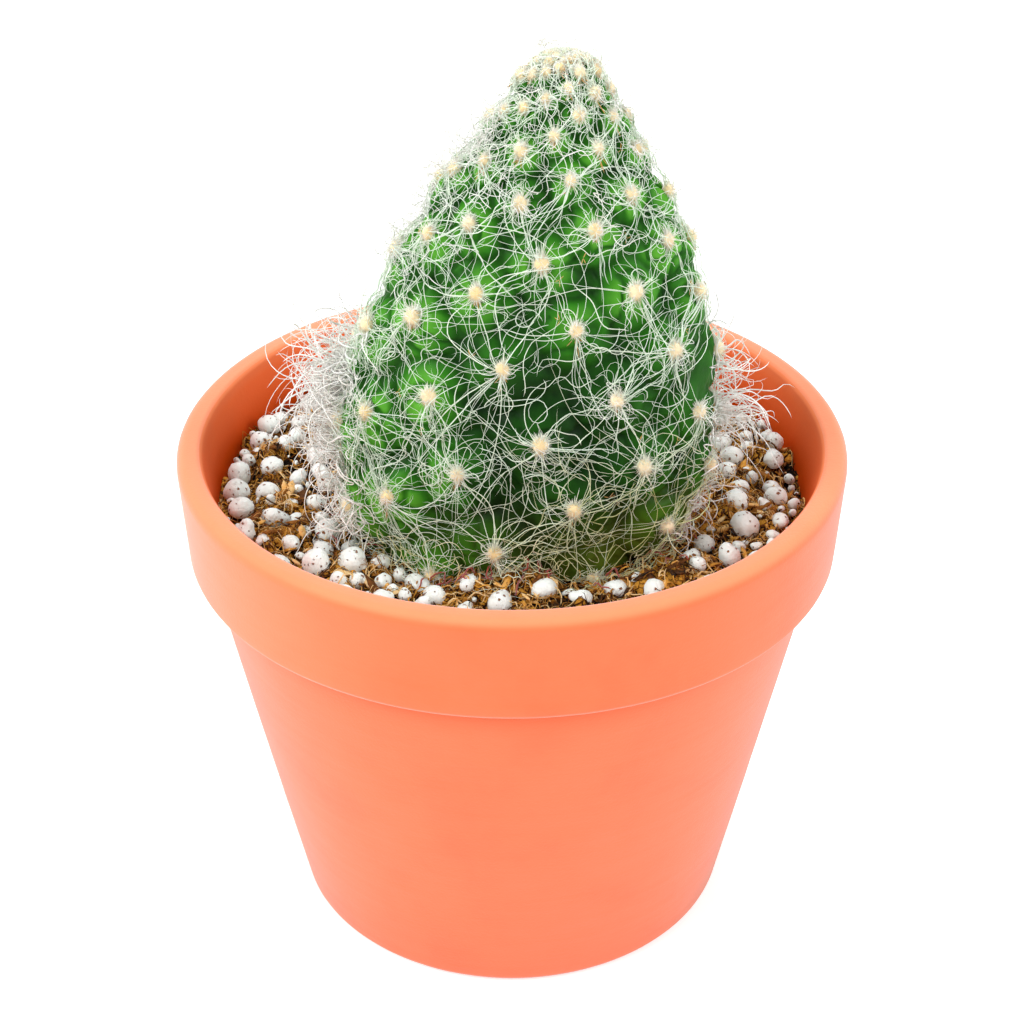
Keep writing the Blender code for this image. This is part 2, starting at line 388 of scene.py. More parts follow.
def fired_terracotta(pot, name, **constants):
    """Earthenware, turned and fired unglazed: dead matt, finely pored, mottled from the kiln.

    Painted shade darkens and a painted reflection of the orange walls reddens the inside wall, most
    where it meets the mix.
    """
    made, tree, coords = new_material(name)
    painted_shade = add(tree, "Attribute", attribute_name="painted_shade", out="Fac")
    inputs = {"Vector": coords, "Scale": 1 / 0.016, "Detail": 5.0, "Roughness": 0.6}
    mottle = add(tree, "TexNoise", inputs)
    tones = [(0.25, pot.clay_deep), (0.52, pot.clay), (0.80, pot.clay_pale)]
    tone = add(tree, "ValToRGB", {"Fac": mottle}, stops=tones)
    # The painted highlight along the lip and on the band's left side.
    highlight_and_rubbed = add(tree, "Attribute", attribute_name="highlight_and_rubbed", out="Fac")
    inputs = {FACTOR: highlight_and_rubbed, COLOUR_A: tone, COLOUR_B: (*pot.clay_highlight, 1.0)}
    highlit_tone = add(tree, "Mix", inputs, data_type="RGBA", out=MIXED)
    # Painted shade, broken up by the mottle, darkens and reddens the inside and the clay under the
    # band.
    mottled_shade = add(tree, "Math", {0: mottle, 1: 0.5, 2: painted_shade}, operation="MULTIPLY_ADD")
    shade_mix = add(tree, "MapRange", {"Value": mottled_shade, "From Min": 0.25, "From Max": 1.20})
    inputs = {FACTOR: shade_mix, COLOUR_A: highlit_tone, COLOUR_B: (*pot.clay_painted_shade, 1.0)}
    shaded_tone = add(tree, "Mix", inputs, data_type="RGBA", out=MIXED)
    # Grog and pores of about 0.5 mm, and the faint rings that turning leaves, 3 mm apart.
    inputs = {"Vector": coords, "Scale": 1 / 0.0005, "Detail": 3.0, "Roughness": 0.7}
    pores = add(tree, "TexNoise", inputs)
    squeeze = add(tree, "Mapping", {"Vector": coords, "Scale": (0.06, 0.06, 1.0)})
    rings = add(tree, "TexNoise", {"Vector": squeeze, "Scale": 1 / 0.003, "Detail": 2.0})
    relief = add(tree, "Math", {0: rings, 1: 1.6, 2: pores}, operation="MULTIPLY_ADD")
    finish_material(tree, shaded_tone, relief, 0.00004, Roughness=0.8, IOR=1.5, **constants)
    return made


def potting_mix(mix):
    """Coir and peat, sieved loose and moist: golden-brown shreds, no shine, with painted shade
    making the gaps near-black.
    """
    made, tree, coords = new_material("potting_mix")
    # Shreds of about 1.3 mm, each of its own brown, with painted shade in the last 0.2 mm before
    # their gaps and in the low places among the clods.
    cells = {"Vector": pulled(tree, coords, 0.0016, 4.0), "Scale": 1 / 0.0013}
    shreds = add(tree, "TexVoronoi", cells, out="Color")
    own = add(tree, "SeparateXYZ", {"Vector": shreds}, out="X")
    edges = add(tree, "TexVoronoi", cells, feature="DISTANCE_TO_EDGE", out="Distance")
    gap = add(tree, "MapRange", {"Value": edges, "From Max": 0.16, "To Min": -0.55, "To Max": 0.0})
    rise = add(tree, "Attribute", attribute_name="rise", out="Fac")
    inputs = {"Vector": coords, "Scale": 1 / 0.0007, "Detail": 4.0, "Roughness": 0.7}
    grain = add(tree, "TexNoise", inputs)
    high = add(tree, "Math", {0: rise, 1: 0.9, 2: gap}, operation="MULTIPLY_ADD")
    mixed = add(tree, "Math", {0: own, 1: 0.35, 2: high}, operation="MULTIPLY_ADD")
    level = add(tree, "Math", {0: grain, 1: 0.5, 2: mixed}, operation="MULTIPLY_ADD")
    tones = [(0.55, mix.gap_colour), (0.80, mix.peat_colour), (1.0, mix.coir_colour)]
    tone = add(tree, "ValToRGB", {"Fac": level}, stops=tones)
    relief = add(tree, "Math", {0: gap, 1: 1.0, 2: grain}, operation="MULTIPLY_ADD")
    finish_material(tree, tone, relief, 0.0008, Roughness=0.95, Specular_IOR_Level=0.15)
    return made


def coir_fibre(mix):
    """Husk fibre and bark, torn and dried: strands from dark brown to straw, faintly silky."""
    made, tree, coords = new_material("coir_fibre")
    mark = add(tree, "Attribute", attribute_name="tone", out="Fac")
    streak = add(tree, "TexNoise", {"Vector": coords, "Scale": 1 / 0.0009, "Detail": 3.0})
    level = add(tree, "Math", {0: streak, 1: 0.4, 2: mark}, operation="MULTIPLY_ADD")
    tones = [(0.20, mix.gap_colour), (0.42, mix.peat_colour)]
    tones += [(0.75, mix.coir_colour), (1.0, mix.straw_colour)]
    tone = add(tree, "ValToRGB", {"Fac": level}, stops=tones)
    finish_material(tree, tone, streak, 0.0001, Roughness=0.7, Specular_IOR_Level=0.25)
    return made


def expanded_perlite(mix):
    """Volcanic glass popped by heat: chalk-white, matt and frothy, with brown-stained pits."""
    made, tree, coords = new_material("expanded_perlite")
    # Pits of up to 0.6 mm, pulled out of round: one in each cell of 1.0 mm, of a random size.
    places = pulled(tree, coords, 0.0006, 2.0)
    away = add(tree, "TexVoronoi", {"Vector": places, "Scale": 1 / 0.0010}, out="Distance")
    chance = add(tree, "SeparateXYZ", {"Vector": away.node.outputs["Color"]}, out="X")
    away = add(tree, "Math", {0: chance, 1: 0.20, 2: away}, operation="MULTIPLY_ADD")
    inputs = {"Value": away, "From Min": 0.25, "From Max": 0.31, "To Min": 1.0, "To Max": 0.0}
    pit = add(tree, "MapRange", inputs)
    # Peat clings in patches of about 2 mm, most in the lowest 1.6 mm over the mix, where the
    # darkening is partly that stain and partly painted shade under the grains.
    patches = add(tree, "TexNoise", {"Vector": coords, "Scale": 1 / 0.0022, "Detail": 5.0})
    height = add(tree, "SeparateXYZ", {"Vector": coords}, out="Z")
    inputs = {"From Min": mix.level, "From Max": mix.level + 0.0016, "To Min": 0.22, "To Max": 0.0}
    foot = add(tree, "MapRange", {"Value": height, **inputs})
    dirt_and_shade = add(tree, "Math", {0: patches, 1: foot}, operation="ADD")
    inputs = {"Value": dirt_and_shade, "From Min": 0.64, "From Max": 0.82, "To Max": 0.7}
    stain_and_shade = add(tree, "MapRange", inputs)
    mark = add(tree, "Math", {0: pit, 1: stain_and_shade}, operation="MAXIMUM")
    clean, stained = (*mix.perlite_colour, 1.0), (*mix.stain_colour, 1.0)
    inputs = {FACTOR: mark, COLOUR_A: clean, COLOUR_B: stained}
    tone = add(tree, "Mix", inputs, data_type="RGBA", out=MIXED)
    inputs = {"Vector": coords, "Scale": 1 / 0.0006, "Detail": 5.0, "Roughness": 0.65}
    froth = add(tree, "TexNoise", inputs)
    dented = add(tree, "Math", {0: pit, 1: -1.2, 2: froth}, operation="MULTIPLY_ADD")
    # Its broken bubbles are powdery, so it stays bright where it is seen edge on.
    finish_material(
        tree, tone, dented, 0.00024, Roughness=0.9, IOR=1.5, Sheen_Weight=1.0, Sheen_Roughness=0.5
    )
    return made


def cactus_skin(plant):
    """Waxy epidermis of a growing pad: satin green, with a painted highlight on the crests and
    painted shade in the grooves.
    """
    made, tree, coords = new_material("cactus_skin")
    crest = add(tree, "Attribute", attribute_name="crest", out="Fac")
    inputs = {"Vector": coords, "Scale": 1 / 0.007, "Detail": 4.0, "Roughness": 0.6}
    patches = add(tree, "TexNoise", inputs)
    level = add(tree, "Math", {0: patches, 1: 0.45, 2: crest}, operation="MULTIPLY_ADD")
    # Painted light and shade: pale green where the crest mark is high, near-black green where it is
    # low.
    tones = [(0.20, plant.skin_groove_shade), (0.62, plant.skin), (0.98, plant.skin_crest_highlight)]
    tone = add(tree, "ValToRGB", {"Fac": level}, stops=tones)
    age = add(tree, "Attribute", attribute_name="age", out="Fac")
    corky = add(tree, "Math", {0: patches, 1: age}, operation="MULTIPLY")
    inputs = {FACTOR: corky, COLOUR_A: tone, COLOUR_B: (*plant.skin_old, 1.0)}
    aged = add(tree, "Mix", inputs, data_type="RGBA", out=MIXED)
    # Stomata and cells, drawn at 0.4 mm so that they show, give the wax a fine grain.
    cells = add(tree, "TexNoise", {"Vector": coords, "Scale": 1 / 0.0004, "Detail": 2.0})
    finish_material(tree, aged, cells, 0.00004, Roughness=0.45, IOR=1.40, Specular_IOR_Level=0.16)
    return made


def strand_material(name, pale, deep, roughness, down=0.5):
    """Dead plant hair or bristle, grown: from its deep colour to its pale one as tone rises.

    Its down of finer hairs brightens it where it is seen edge on.
    """
    made, tree, coords = new_material(name)
    mark = add(tree, "Attribute", attribute_name="tone", out="Fac")
    tone = add(tree, "ValToRGB", {"Fac": mark}, stops=[(0.0, deep), (1.0, pale)])
    streak = add(tree, "TexNoise", {"Vector": coords, "Scale": 1 / 0.0006, "Detail": 2.0})
    finish = {"Roughness": roughness, "IOR": 1.55, "Sheen_Weight": down, "Sheen_Roughness": 0.5}
    finish_material(tree, tone, streak, 0.00002, **finish)
    return made


# --- pot -------------------------------------------------------------------------------------
POT_COLUMNS = 288
ARC_STEPS = 8
WALL_STEP = 0.0016  # between rings on the straight stretches
SHARP_EDGE = 0.0006  # radius of the pot's sharper edges
FOOT_EDGE = 0.0020  # of its foot, outside and inside
BAND_EDGE = 0.0011  # of the band's lower edge
LIP_OUTER, LIP_INNER = 0.0018, 0.0012  # of its lip
LIP_HIGHLIGHT, BAND_HIGHLIGHT = 0.95, 0.75  # painted highlight on the lip, and on the band's left side
BAND_SHADOW = 0.22  # painted shadow on the clay under the band


def inner_radius(pot, height):
    """Radius of the inside wall, which runs parallel to the body's outside."""
    slope = (pot.body_top_radius - pot.body_foot_radius) / (pot.height - pot.band_height)
    return pot.rim_radius - pot.wall - slope * (pot.height - height)


def rounded(corners):
    """The (r, z) outline through (r, z, radius) corners: an arc at each, points along each side."""
    outline = []
    for i, (r, z, radius) in enumerate(corners):
        here = np.array([r, z])
        beside = (corners[i - 1], corners[(i + 1) % len(corners)])
        before, after = (unit(np.array(corner[:2]) - here) for corner in beside)
        half = math.acos(float(np.clip(before @ after, -1, 1))) / 2
        centre = here + unit(before + after) * radius / math.sin(half)
        turn = np.linspace(0, 1, ARC_STEPS + 1)[:, None]
        start, end = (here + side * radius / math.tan(half) - centre for side in (before, after))
        swept = math.pi - 2 * half
        arc = (np.sin((1 - turn) * swept) * start + np.sin(turn * swept) * end) / math.sin(swept)
        outline.append(centre + arc)
    joined = []
    for arc, following in zip(outline, outline[1:] + outline[:1]):
        run = np.linalg.norm(following[0] - arc[-1])
        parts = np.linspace(0, 1, max(2, int(run / WALL_STEP)), endpoint=False)[1:, None]
        joined += [arc, arc[-1] + parts * (following[0] - arc[-1])]
    return np.concatenate(joined)


def pot_points(pot):
    """The outline turned round Z, pushed in and out up to 0.08 mm as a drying pot warps.

    Its marks are its painted shade and its painted highlight, and the last value is true of inside
    faces.
    """
    band_foot = pot.height - pot.band_height
    outline = rounded(
        [
            (pot.drain_radius, 0.0, SHARP_EDGE),
            (pot.body_foot_radius, 0.0, FOOT_EDGE),
            (pot.body_top_radius, band_foot, SHARP_EDGE),
            (pot.band_foot_radius, band_foot, BAND_EDGE),
            (pot.rim_radius, pot.height, LIP_OUTER),
            (pot.rim_radius - pot.wall, pot.height, LIP_INNER),
            (inner_radius(pot, pot.floor), pot.floor, FOOT_EDGE),
            (pot.drain_radius, pot.floor, SHARP_EDGE),
        ]
    )
    turn = np.linspace(0, TURN, POT_COLUMNS, endpoint=False)
    r, z = outline[:, :1], outline[:, 1:]
    points = np.stack([r * np.cos(turn), r * np.sin(turn), z + 0 * turn], -1)
    outward = np.stack([np.cos(turn), np.sin(turn), 0 * turn], -1)
    warp = 0.00006 * noise(points, 0.020, 3) + 0.00002 * noise(points, 0.004, 4)
    points = points + outward * warp[..., None]
    # Painted shade darkens the inside, more and more down to 11.5 mm below the lip, which gets a
    # painted highlight.
    inside = (r < inner_radius(pot, z) + 0.0004) & (z > pot.floor)
    painted_shade = inside * ease(pot.height - 0.0005, pot.height - 0.0115, z) + 0 * turn
    highlight_and_rubbed = LIP_HIGHLIGHT * ease(pot.height - 0.0015, pot.height - 0.0003, z) + 0 * turn
    # A painted highlight lightens the band on its left side, and painted shadow reddens the clay
    # under the band.
    on_band = ease(band_foot - 0.0004, band_foot + 0.0010, z)
    band_highlight = BAND_HIGHLIGHT * ease(-0.010, -0.050, points[..., 0]) * on_band
    highlight_and_rubbed = np.maximum(highlight_and_rubbed, band_highlight * ~inside)
    band_shadow = ease(band_foot - 0.0070, band_foot - 0.0005, z) * (z < band_foot)
    painted_shade = painted_shade + BAND_SHADOW * band_shadow * ~inside
    faces = [ring_quads(len(outline), POT_COLUMNS, closed=True)]
    marks = {"painted_shade": painted_shade, "highlight_and_rubbed": highlight_and_rubbed}
    return points.reshape(-1, 3), faces, marks, np.repeat(inside[:, 0], POT_COLUMNS)


class CACTUS_OT_pot(bpy.types.Operator):
    """Make the terracotta pot"""

    bl_idname = "cactus.pot"
    bl_label = "Terracotta pot"

    def execute(self, context):
        pot = context.scene.cactus_pot
        points, faces, marks, inside = pot_points(pot)
        # The dry outside is powdery with lime, so it brightens where it is seen edge on; the inside,
        # which carries the painted shade, hardly shines.
        dry = fired_terracotta(pot, "fired_terracotta", Sheen_Weight=0.72, Sheen_Roughness=0.42)
        piece = add_piece("clay_pot", points, faces, dry, ["pot"], marks)
        painted_shade = fired_terracotta(pot, "inside_terracotta", Specular_IOR_Level=0.1)
        piece.data.materials.append(painted_shade)
        piece.data.polygons.foreach_set("material_index", inside.astype(np.int32))
        return {"FINISHED"}


# --- potting mix -----------------------------------------------------------------------------
MIX_ROWS, MIX_COLUMNS = 150, 480
MIX_INSET = 0.0002  # clearance to the pot's wall
FIBRE_STEPS = 8
FIBRE_GAP = 0.0005  # clearance from a fibre to the pot's wall
THIN_FIBRE, FIBRE_SPREAD = 0.00005, 0.00011  # least radius, and what the greatest has over it
SMALL_CRUMB, CRUMB_SPREAD = 0.0004, 0.0013  # the same of a crumb's size
CRUMB_ROWS, CRUMB_COLUMNS = 4, 6
DRY_RADIUS = 0.00016  # radius of a dry bristle
SHRUNK, SHRUNK_FROM, SHRUNK_TO = 0.0013, 0.0430, 0.0465  # how much lower it is near the wall


def relief(mix, x, y):
    """Height of the rolling surface over its mean level: the mean of three waves that cross."""
    x, y = TURN * x / mix.wave, TURN * y / mix.wave
    return mix.relief / 3 * (np.sin(x + 1) * np.cos(y) + np.sin(x + y + 2) + np.cos(x - 2 * y))


def clods(x, y):
    """The loose surface's height over its rolls, about -2 to 2 mm.

    Clods of 6 and 2.6 mm are smooth noise. Shreds of 1.5 and 0.8 mm are ridges: 0.5 less the size
    of a noise, so that they are sharp along their crests.
    """
    flat = np.stack([x, y, 0 * x], -1)
    smooth = 0.5 * noise(flat, 0.0060, 21) + 1.0 * noise(flat, 0.0026, 22)
    ridges = 1.1 * (0.5 - np.abs(noise(flat, 0.0015, 23)))
    ridges = ridges + 0.6 * (0.5 - np.abs(noise(flat, 0.0008, 24)))
    return MM * (smooth + ridges)


def mix_height(mix, x, y):
    """The rolls with the clods on them, lower near the wall, where the mix shrank."""
    shrunk = SHRUNK * ease(SHRUNK_FROM, SHRUNK_TO, np.hypot(x, y))
    return mix.level + relief(mix, x, y) + clods(x, y) - shrunk


def mix_points(pot, mix):
    """A disc of rings with the loose surface as its height, closed by the pot's taper and floor.

    The last value says how high each point stands among the clods, from 0 to 1.
    """
    bottom = pot.floor + MIX_INSET
    edge = inner_radius(pot, mix.level) - MIX_INSET
    turn = np.linspace(0, TURN, MIX_COLUMNS, endpoint=False)
    r = np.linspace(0, edge, MIX_ROWS + 1)[1:, None]
    x, y = r * np.cos(turn), r * np.sin(turn)
    top = np.stack([x, y, mix_height(mix, x, y)], -1)
    foot_radius = inner_radius(pot, bottom) - MIX_INSET - 0.002
    foot = [foot_radius * np.cos(turn), foot_radius * np.sin(turn), 0 * turn + bottom]
    rows = np.concatenate([top, np.stack(foot, -1)[None]])
    points = np.concatenate([[[0, 0, mix.level]], rows.reshape(-1, 3), [[0, 0, bottom]]])
    rise = ease(-0.0014, 0.0018, clods(points[:, 0], points[:, 1]))
    return points, capped(MIX_ROWS + 1, MIX_COLUMNS), rise


def on_mix(pot, plant, mix, number, margin, rng):
    """Random places on the mix that keep the margin from the pot's wall and from the plant."""
    wall = inner_radius(pot, mix.level) - margin
    out = np.sqrt(rng.uniform(0, 1, 4 * number)) * wall
    turn = rng.uniform(0, TURN, 4 * number)
    x, y = out * np.cos(turn), out * np.sin(turn)
    wide, thick, middle = section(plant, np.array(mix.level + 0.002))
    free = np.hypot((x - middle) / (wide + margin), (y - plant.centre_y) / (thick + margin)) > 1
    return x[free][:number], y[free][:number]


def lying_strands(mix, x, y, rng):
    """Curled fibres on the mix: level arcs with a sway, which rise in the middle or at one end."""
    number = len(x)
    part = np.linspace(-0.5, 0.5, FIBRE_STEPS)
    curl = rng.normal(0, 3.2, (number, 1))
    sway = rng.uniform(0, 1.2, (number, 1)) * np.sin(TURN * (part + rng.random((number, 1))))
    heading = rng.uniform(0, TURN, (number, 1)) + curl * part + sway
    stride = rng.uniform(0.0018, 0.0068, (number, 1)) / (FIBRE_STEPS - 1)
    px = x[:, None] + np.cumsum(np.cos(heading) * stride, 1)
    py = y[:, None] + np.cumsum(np.sin(heading) * stride, 1)
    arch = rng.uniform(0, 0.0014, (number, 1)) * np.cos(math.pi * part) ** 2
    tilt = rng.uniform(0, 0.0016, (number, 1)) * (part + 0.5) ** 2
    tilt = tilt * (rng.random((number, 1)) < 0.4)
    return np.stack([px, py, mix_height(mix, px, py) + 0.0001 + arch + tilt], -1)


def inside_pot(pot, points, margin):
    """The points, drawn in where they would touch the pot's wall."""
    out = np.hypot(points[..., 0], points[..., 1])
    limit = inner_radius(pot, np.minimum(points[..., 2], pot.height)) - margin
    limit = np.where(points[..., 2] < pot.height + margin, limit, np.inf)
    points = points.copy()
    points[..., :2] *= np.minimum(1, limit / np.maximum(out, 1e-9))[..., None]
    return points


class CACTUS_OT_mix(bpy.types.Operator):
    """Make the potting mix, with its coir fibres, its crumbs and the bristles that fell on it"""

    bl_idname = "cactus.mix"
    bl_label = "Potting mix"

    def execute(self, context):
        scene = context.scene
        pot, mix, plant = scene.cactus_pot, scene.cactus_mix, scene.cactus_plant
        points, faces, rise = mix_points(pot, mix)
        loose, marks = potting_mix(mix), {"rise": rise}
        add_piece("loose_mix", points, faces, loose, ["soil"], marks)
        rng = np.random.default_rng(SEEDS["mix"])
        x, y = on_mix(pot, plant, mix, mix.fibres, 0.0004, rng)
        paths = inside_pot(pot, lying_strands(mix, x, y, rng), FIBRE_GAP)
        radii = THIN_FIBRE + FIBRE_SPREAD * rng.random((len(x), 1)) ** 2
        tone = rng.beta(1.0, 1.2, len(x))
        finish = coir_fibre(mix)
        add_strands("coir_fibres", paths, radii, tone, finish)
        x, y = on_mix(pot, plant, mix, mix.crumbs, 0.0010, rng)
        size = SMALL_CRUMB + CRUMB_SPREAD * rng.random(len(x)) ** 2.5
        height = mix_height(mix, x, y) + rng.uniform(0.0, 0.5, len(x)) * size
        stretch = rng.uniform((1.0, 0.25, 0.12), (2.3, 0.7, 0.40), (len(x), 3)) * size[:, None]
        centres = np.stack([x, y, height], -1)
        grid = (CRUMB_ROWS, CRUMB_COLUMNS)
        points, faces = lumps(centres, stretch, *grid, 0.55, 0.0, rng, lean=0.45)
        tone = np.repeat(rng.beta(0.8, 1.7, len(x)), CRUMB_ROWS * CRUMB_COLUMNS + 2)
        add_piece("bark_shreds", points, faces, finish, marks={"tone": tone})
        # Dry red-brown bristles that fell from the plant lie about its foot.
        wide, thick, middle = section(plant, np.array(mix.level))
        turn = rng.uniform(0, TURN, mix.dry_bristles)
        out = 1 + rng.uniform(0.02, 0.35, mix.dry_bristles)
        x, y = middle + wide * out * np.sin(turn), plant.centre_y - thick * out * np.cos(turn)
        paths = inside_pot(pot, lying_strands(mix, x, y, rng) + [0, 0, 0.0008], FIBRE_GAP)
        tone = rng.uniform(0, 1, len(x))
        dry = strand_material("dry_bristle", plant.dry, plant.dry_deep, 0.7)
        add_strands("dry_bristles", paths, DRY_RADIUS, tone, dry)
        return {"FINISHED"}


# --- perlite ---------------------------------------------------------------------------------
GRAIN_ROWS, GRAIN_COLUMNS = 24, 36
DENT_ROOM = 1.2  # how much larger a ball starts than its grain, because its dents make it smaller
GRAIN_SPACING = -0.0003  # clearance of the smaller grains, which may sink into each other a little
FEW_FROM, FEW_TO, FEW = -0.014, 0.036, 0.05  # between these x few of the smaller ones lie


def lumps(centres, stretch, rows, columns, roughness, lobe, rng, lean=0.0):
    """Closed lumps about the centres, stretched and turned about Z.

    Each is a ball of radius 1 that swells smoothly to where a second ball beside it reaches, and
    that three octaves of noise dent by up to the roughness. lobe is how often the second is there,
    and lean how much their height changes along their length.
    """
    down = (np.arange(rows) + 0.5) / rows * math.pi
    turn = TURN * np.arange(columns) / columns
    down = np.concatenate([[0.0], np.repeat(down, columns), [math.pi]])
    turn = np.concatenate([[0.0], np.tile(turn, rows), [0.0]])
    ball = np.stack([np.sin(down) * np.cos(turn), np.sin(down) * np.sin(turn), np.cos(down)], -1)
    number = len(centres)
    side = unit(rng.normal(0, 1, (number, 3)) * (1.0, 1.0, 0.5))
    away = rng.uniform(0.60, 0.95, (number, 1))
    wide = rng.uniform(0.50, 0.72, (number, 1))
    along = away * (side @ ball.T)
    reach = along + np.sqrt(np.maximum(0, along**2 - away**2 + wide**2))
    reach = np.maximum(0, reach) * (rng.random((number, 1)) < lobe)
    swell = (1 + reach**6) ** (1 / 6)
    swell = swell / (0.5 + 0.5 * swell.max(axis=1, keepdims=True))
    seed = int(rng.integers(1 << 30))
    places = ball[None] + 40 * rng.uniform(0, 1, (number, 1, 3))
    dent = 0.6 * noise(places, 0.9, seed) + 0.25 * noise(places, 0.45, seed + 1)
    dent = dent + 0.15 * noise(places, 0.22, seed + 2)
    radius = swell * (1 - roughness * (0.5 + 0.5 * dent))
    shape = ball[None] * radius[..., None] * stretch[:, None]
    if lean:
        shape[..., 2] += rng.normal(0, lean, (number, 1)) * shape[..., 0]
    spin = rng.uniform(0, TURN, number)[:, None]
    x, y = shape[..., 0], shape[..., 1]
    c, s = np.cos(spin), np.sin(spin)
    turned = np.stack([x * c - y * s, x * s + y * c, shape[..., 2]], -1)
    return (turned + centres[:, None]).reshape(-1, 3), capped(rows, columns, number)


def clear_places(taken, x, y, radii, spacing):
    """Which of the places, taken in turn, keep clear of those before them and of the taken ones."""
    kept = list(taken)
    chosen = []
    for i, (px, py, radius) in enumerate(zip(x, y, radii)):
        if all(math.hypot(px - a, py - b) > radius + r + spacing for a, b, r in kept):
            kept.append((px, py, radius))
            chosen.append(i)
    return chosen


class CACTUS_OT_perlite(bpy.types.Operator):
    """Make the perlite: a piece for each grain of the frame, and two for all the smaller ones"""

    bl_idname = "cactus.perlite"
    bl_label = "Perlite"

    def execute(self, context):
        scene = context.scene
        pot, mix, plant = scene.cactus_pot, scene.cactus_mix, scene.cactus_plant
        finish = expanded_perlite(mix)
        rng = np.random.default_rng(SEEDS["perlite"])
        taken = []
        for number, node in enumerate(GRAIN_NODES, start=1):
            low, high = (np.array(corner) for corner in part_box(node))
            middle, reach = (low + high) / 2, (high - low) / 2
            reach = DENT_ROOM * np.array([reach[:2].mean(), reach[:2].mean(), reach[2]])
            grid = (GRAIN_ROWS, GRAIN_COLUMNS)
            points, faces = lumps(middle[None], reach[None], *grid, 0.31, 0.7, rng)
            add_piece(f"grain_{number:02d}", points, faces, finish, [node])
            taken.append((middle[0], middle[1], reach[0]))
        # Name and number, least and greatest radius, stretch, rows and columns, and roughness.
        kinds = (
            ("middling_grains", mix.middling_grains, (0.0013, 0.0026), (0.85, 1.15), 14, 22, 0.34),
            ("small_grains", mix.small_grains, (0.0004, 0.0012), (0.6, 1.3), 8, 12, 0.40),
        )
        for name, number, sizes, shape, rows, columns, roughness in kinds:
            x, y = on_mix(pot, plant, mix, 24 * number, sizes[1], rng)
            kept = rng.random(len(x)) < np.where((x < FEW_FROM) | (x > FEW_TO), 1.0, FEW)
            x, y = x[kept], y[kept]
            radii = np.resize(np.linspace(sizes[1], sizes[0], number), len(x))
            chosen = clear_places(taken, x, y, radii, GRAIN_SPACING)[:number]
            x, y, radii = x[chosen], y[chosen], radii[chosen]
            taken += list(zip(x, y, radii))
            centres = np.stack([x, y, mix.level + relief(mix, x, y) + 0.0003 + 0.35 * radii], -1)
            stretch = radii[:, None] * rng.uniform(*shape, (len(x), 3))
            points, faces = lumps(centres, stretch, rows, columns, roughness, 0.6, rng)
            add_piece(name, points, faces, finish)
        return {"FINISHED"}


# --- plant: its form -------------------------------------------------------------------------
SKIN_ROWS, SKIN_COLUMNS = 300, 312
TAPER, TAPER_POWER, TIP_POWER = 0.68, 1.9, 3.2  # the outline above the widest place
CROWN, CROWN_HIGH, CROWN_POWER = 0.0056, 0.0060, 3.0  # half width, height and power of the tip
# Shares of the areoles' spacing:
TUBERCLE = 0.17  # from the deepest meeting points of the grooves to the crests
CREST = 0.11  # height of the crests over the bare form
BELOW = 0.10  # how far a tubercle's middle is below its areole
DOME_REACH, DOME_POWER = 0.64, 1.7  # how far a tubercle reaches, and how it falls
DENT_WIDE, DENT_DEEP, DENT_SHADE = 0.10, 0.02, 0.6  # the dent in a groove, and how much painted shade it adds there
FIRST_RING = 0.00108  # how far the first ring of areoles is below the tip
BACK_RISE = 0.0025  # how much higher a ring is at the side than in front, and again at the back
ON_DOME = (0.2, 0.7, 0.4, 1.0, 0.1, 0.6, 0.3)  # mm that the topmost areoles are below the tip
SHOWN = 0.001  # how far below the mix's mean level things on the skin may still show
BARE_TURN, BARE_HEIGHT = math.radians(70), 0.1075  # the middle of a smooth patch without hair
BARE_WIDE, BARE_TALL = 0.0038, 0.0056  # its half width and half height


def closing(part, power):
    """A width that is 1 at part 0 and closes to nothing at part 1. Power 2 gives an ellipse."""
    return np.sqrt(np.maximum(0, 1 - np.clip(part, 0, 1) ** power))


def section(plant, z):
    """Half width, half thickness and middle of the pad's elliptical section at heights z.

    The width tapers and closes towards the tip, where a blunt crown takes over: above the widest
    place, it is the fourth root of the sum of the two widths' fourth powers.
    """
    part = np.clip((z - plant.widest) / (plant.top - plant.widest), 0, 1)
    above = (1 - TAPER * part**TAPER_POWER) * closing(part, TIP_POWER)
    crown = CROWN * closing((z - plant.top + CROWN_HIGH) / CROWN_HIGH, CROWN_POWER)
    above = (above**4 + (crown / plant.half_width) ** 4) ** 0.25
    below = closing((plant.widest - z) / (plant.widest - plant.foot), 2)
    end = np.where(z > plant.thickest, plant.top, plant.foot)
    wide = plant.half_width * np.where(z > plant.widest, above, below)
    thick = plant.half_thickness * closing((z - plant.thickest) / (end - plant.thickest), 2)
    return wide, thick, plant.centre_x + plant.lean * (z - MIX_LEVEL)


def skin_point(plant, z, turn):
    """The bare ellipse at height z; turn is 0 at the front and grows towards +X."""
    wide, thick, middle = section(plant, z)
    x, y = middle + wide * np.sin(turn), plant.centre_y - thick * np.cos(turn)
    return np.stack([x, y, z + 0 * turn], -1)


def skin_normal(plant, z, turn):
    """Outward normal of the bare form: the gradient of its section's equation.

    How the section changes with height is taken between two heights 0.4 mm apart.
    """
    step = 0.0002
    z = np.clip(z, plant.foot + 2 * step, plant.top - 2 * step)
    wide, thick, _ = section(plant, z)
    wide_up, thick_up, _ = section(plant, z + step)
    wide_down, thick_down, _ = section(plant, z - step)
    s, c = np.sin(turn), np.cos(turn)
    slope = s * s * (wide_up - wide_down) / wide + c * c * (thick_up - thick_down) / thick
    return unit(np.stack([s / wide, -c / thick, -slope / (2 * step) - plant.lean * s / wide], -1))


def bare_patch(plant, z, turn):
    """1 in the middle of the smooth patch, 0 at its edge and beyond."""
    wide, thick, _ = section(plant, z)
    away = (turn - BARE_TURN + math.pi) % TURN - math.pi
    across = away * np.hypot(wide * np.cos(turn), thick * np.sin(turn))
    return np.clip(1 - (across / BARE_WIDE) ** 2 - ((z - BARE_HEIGHT) / BARE_TALL) ** 2, 0, 1)


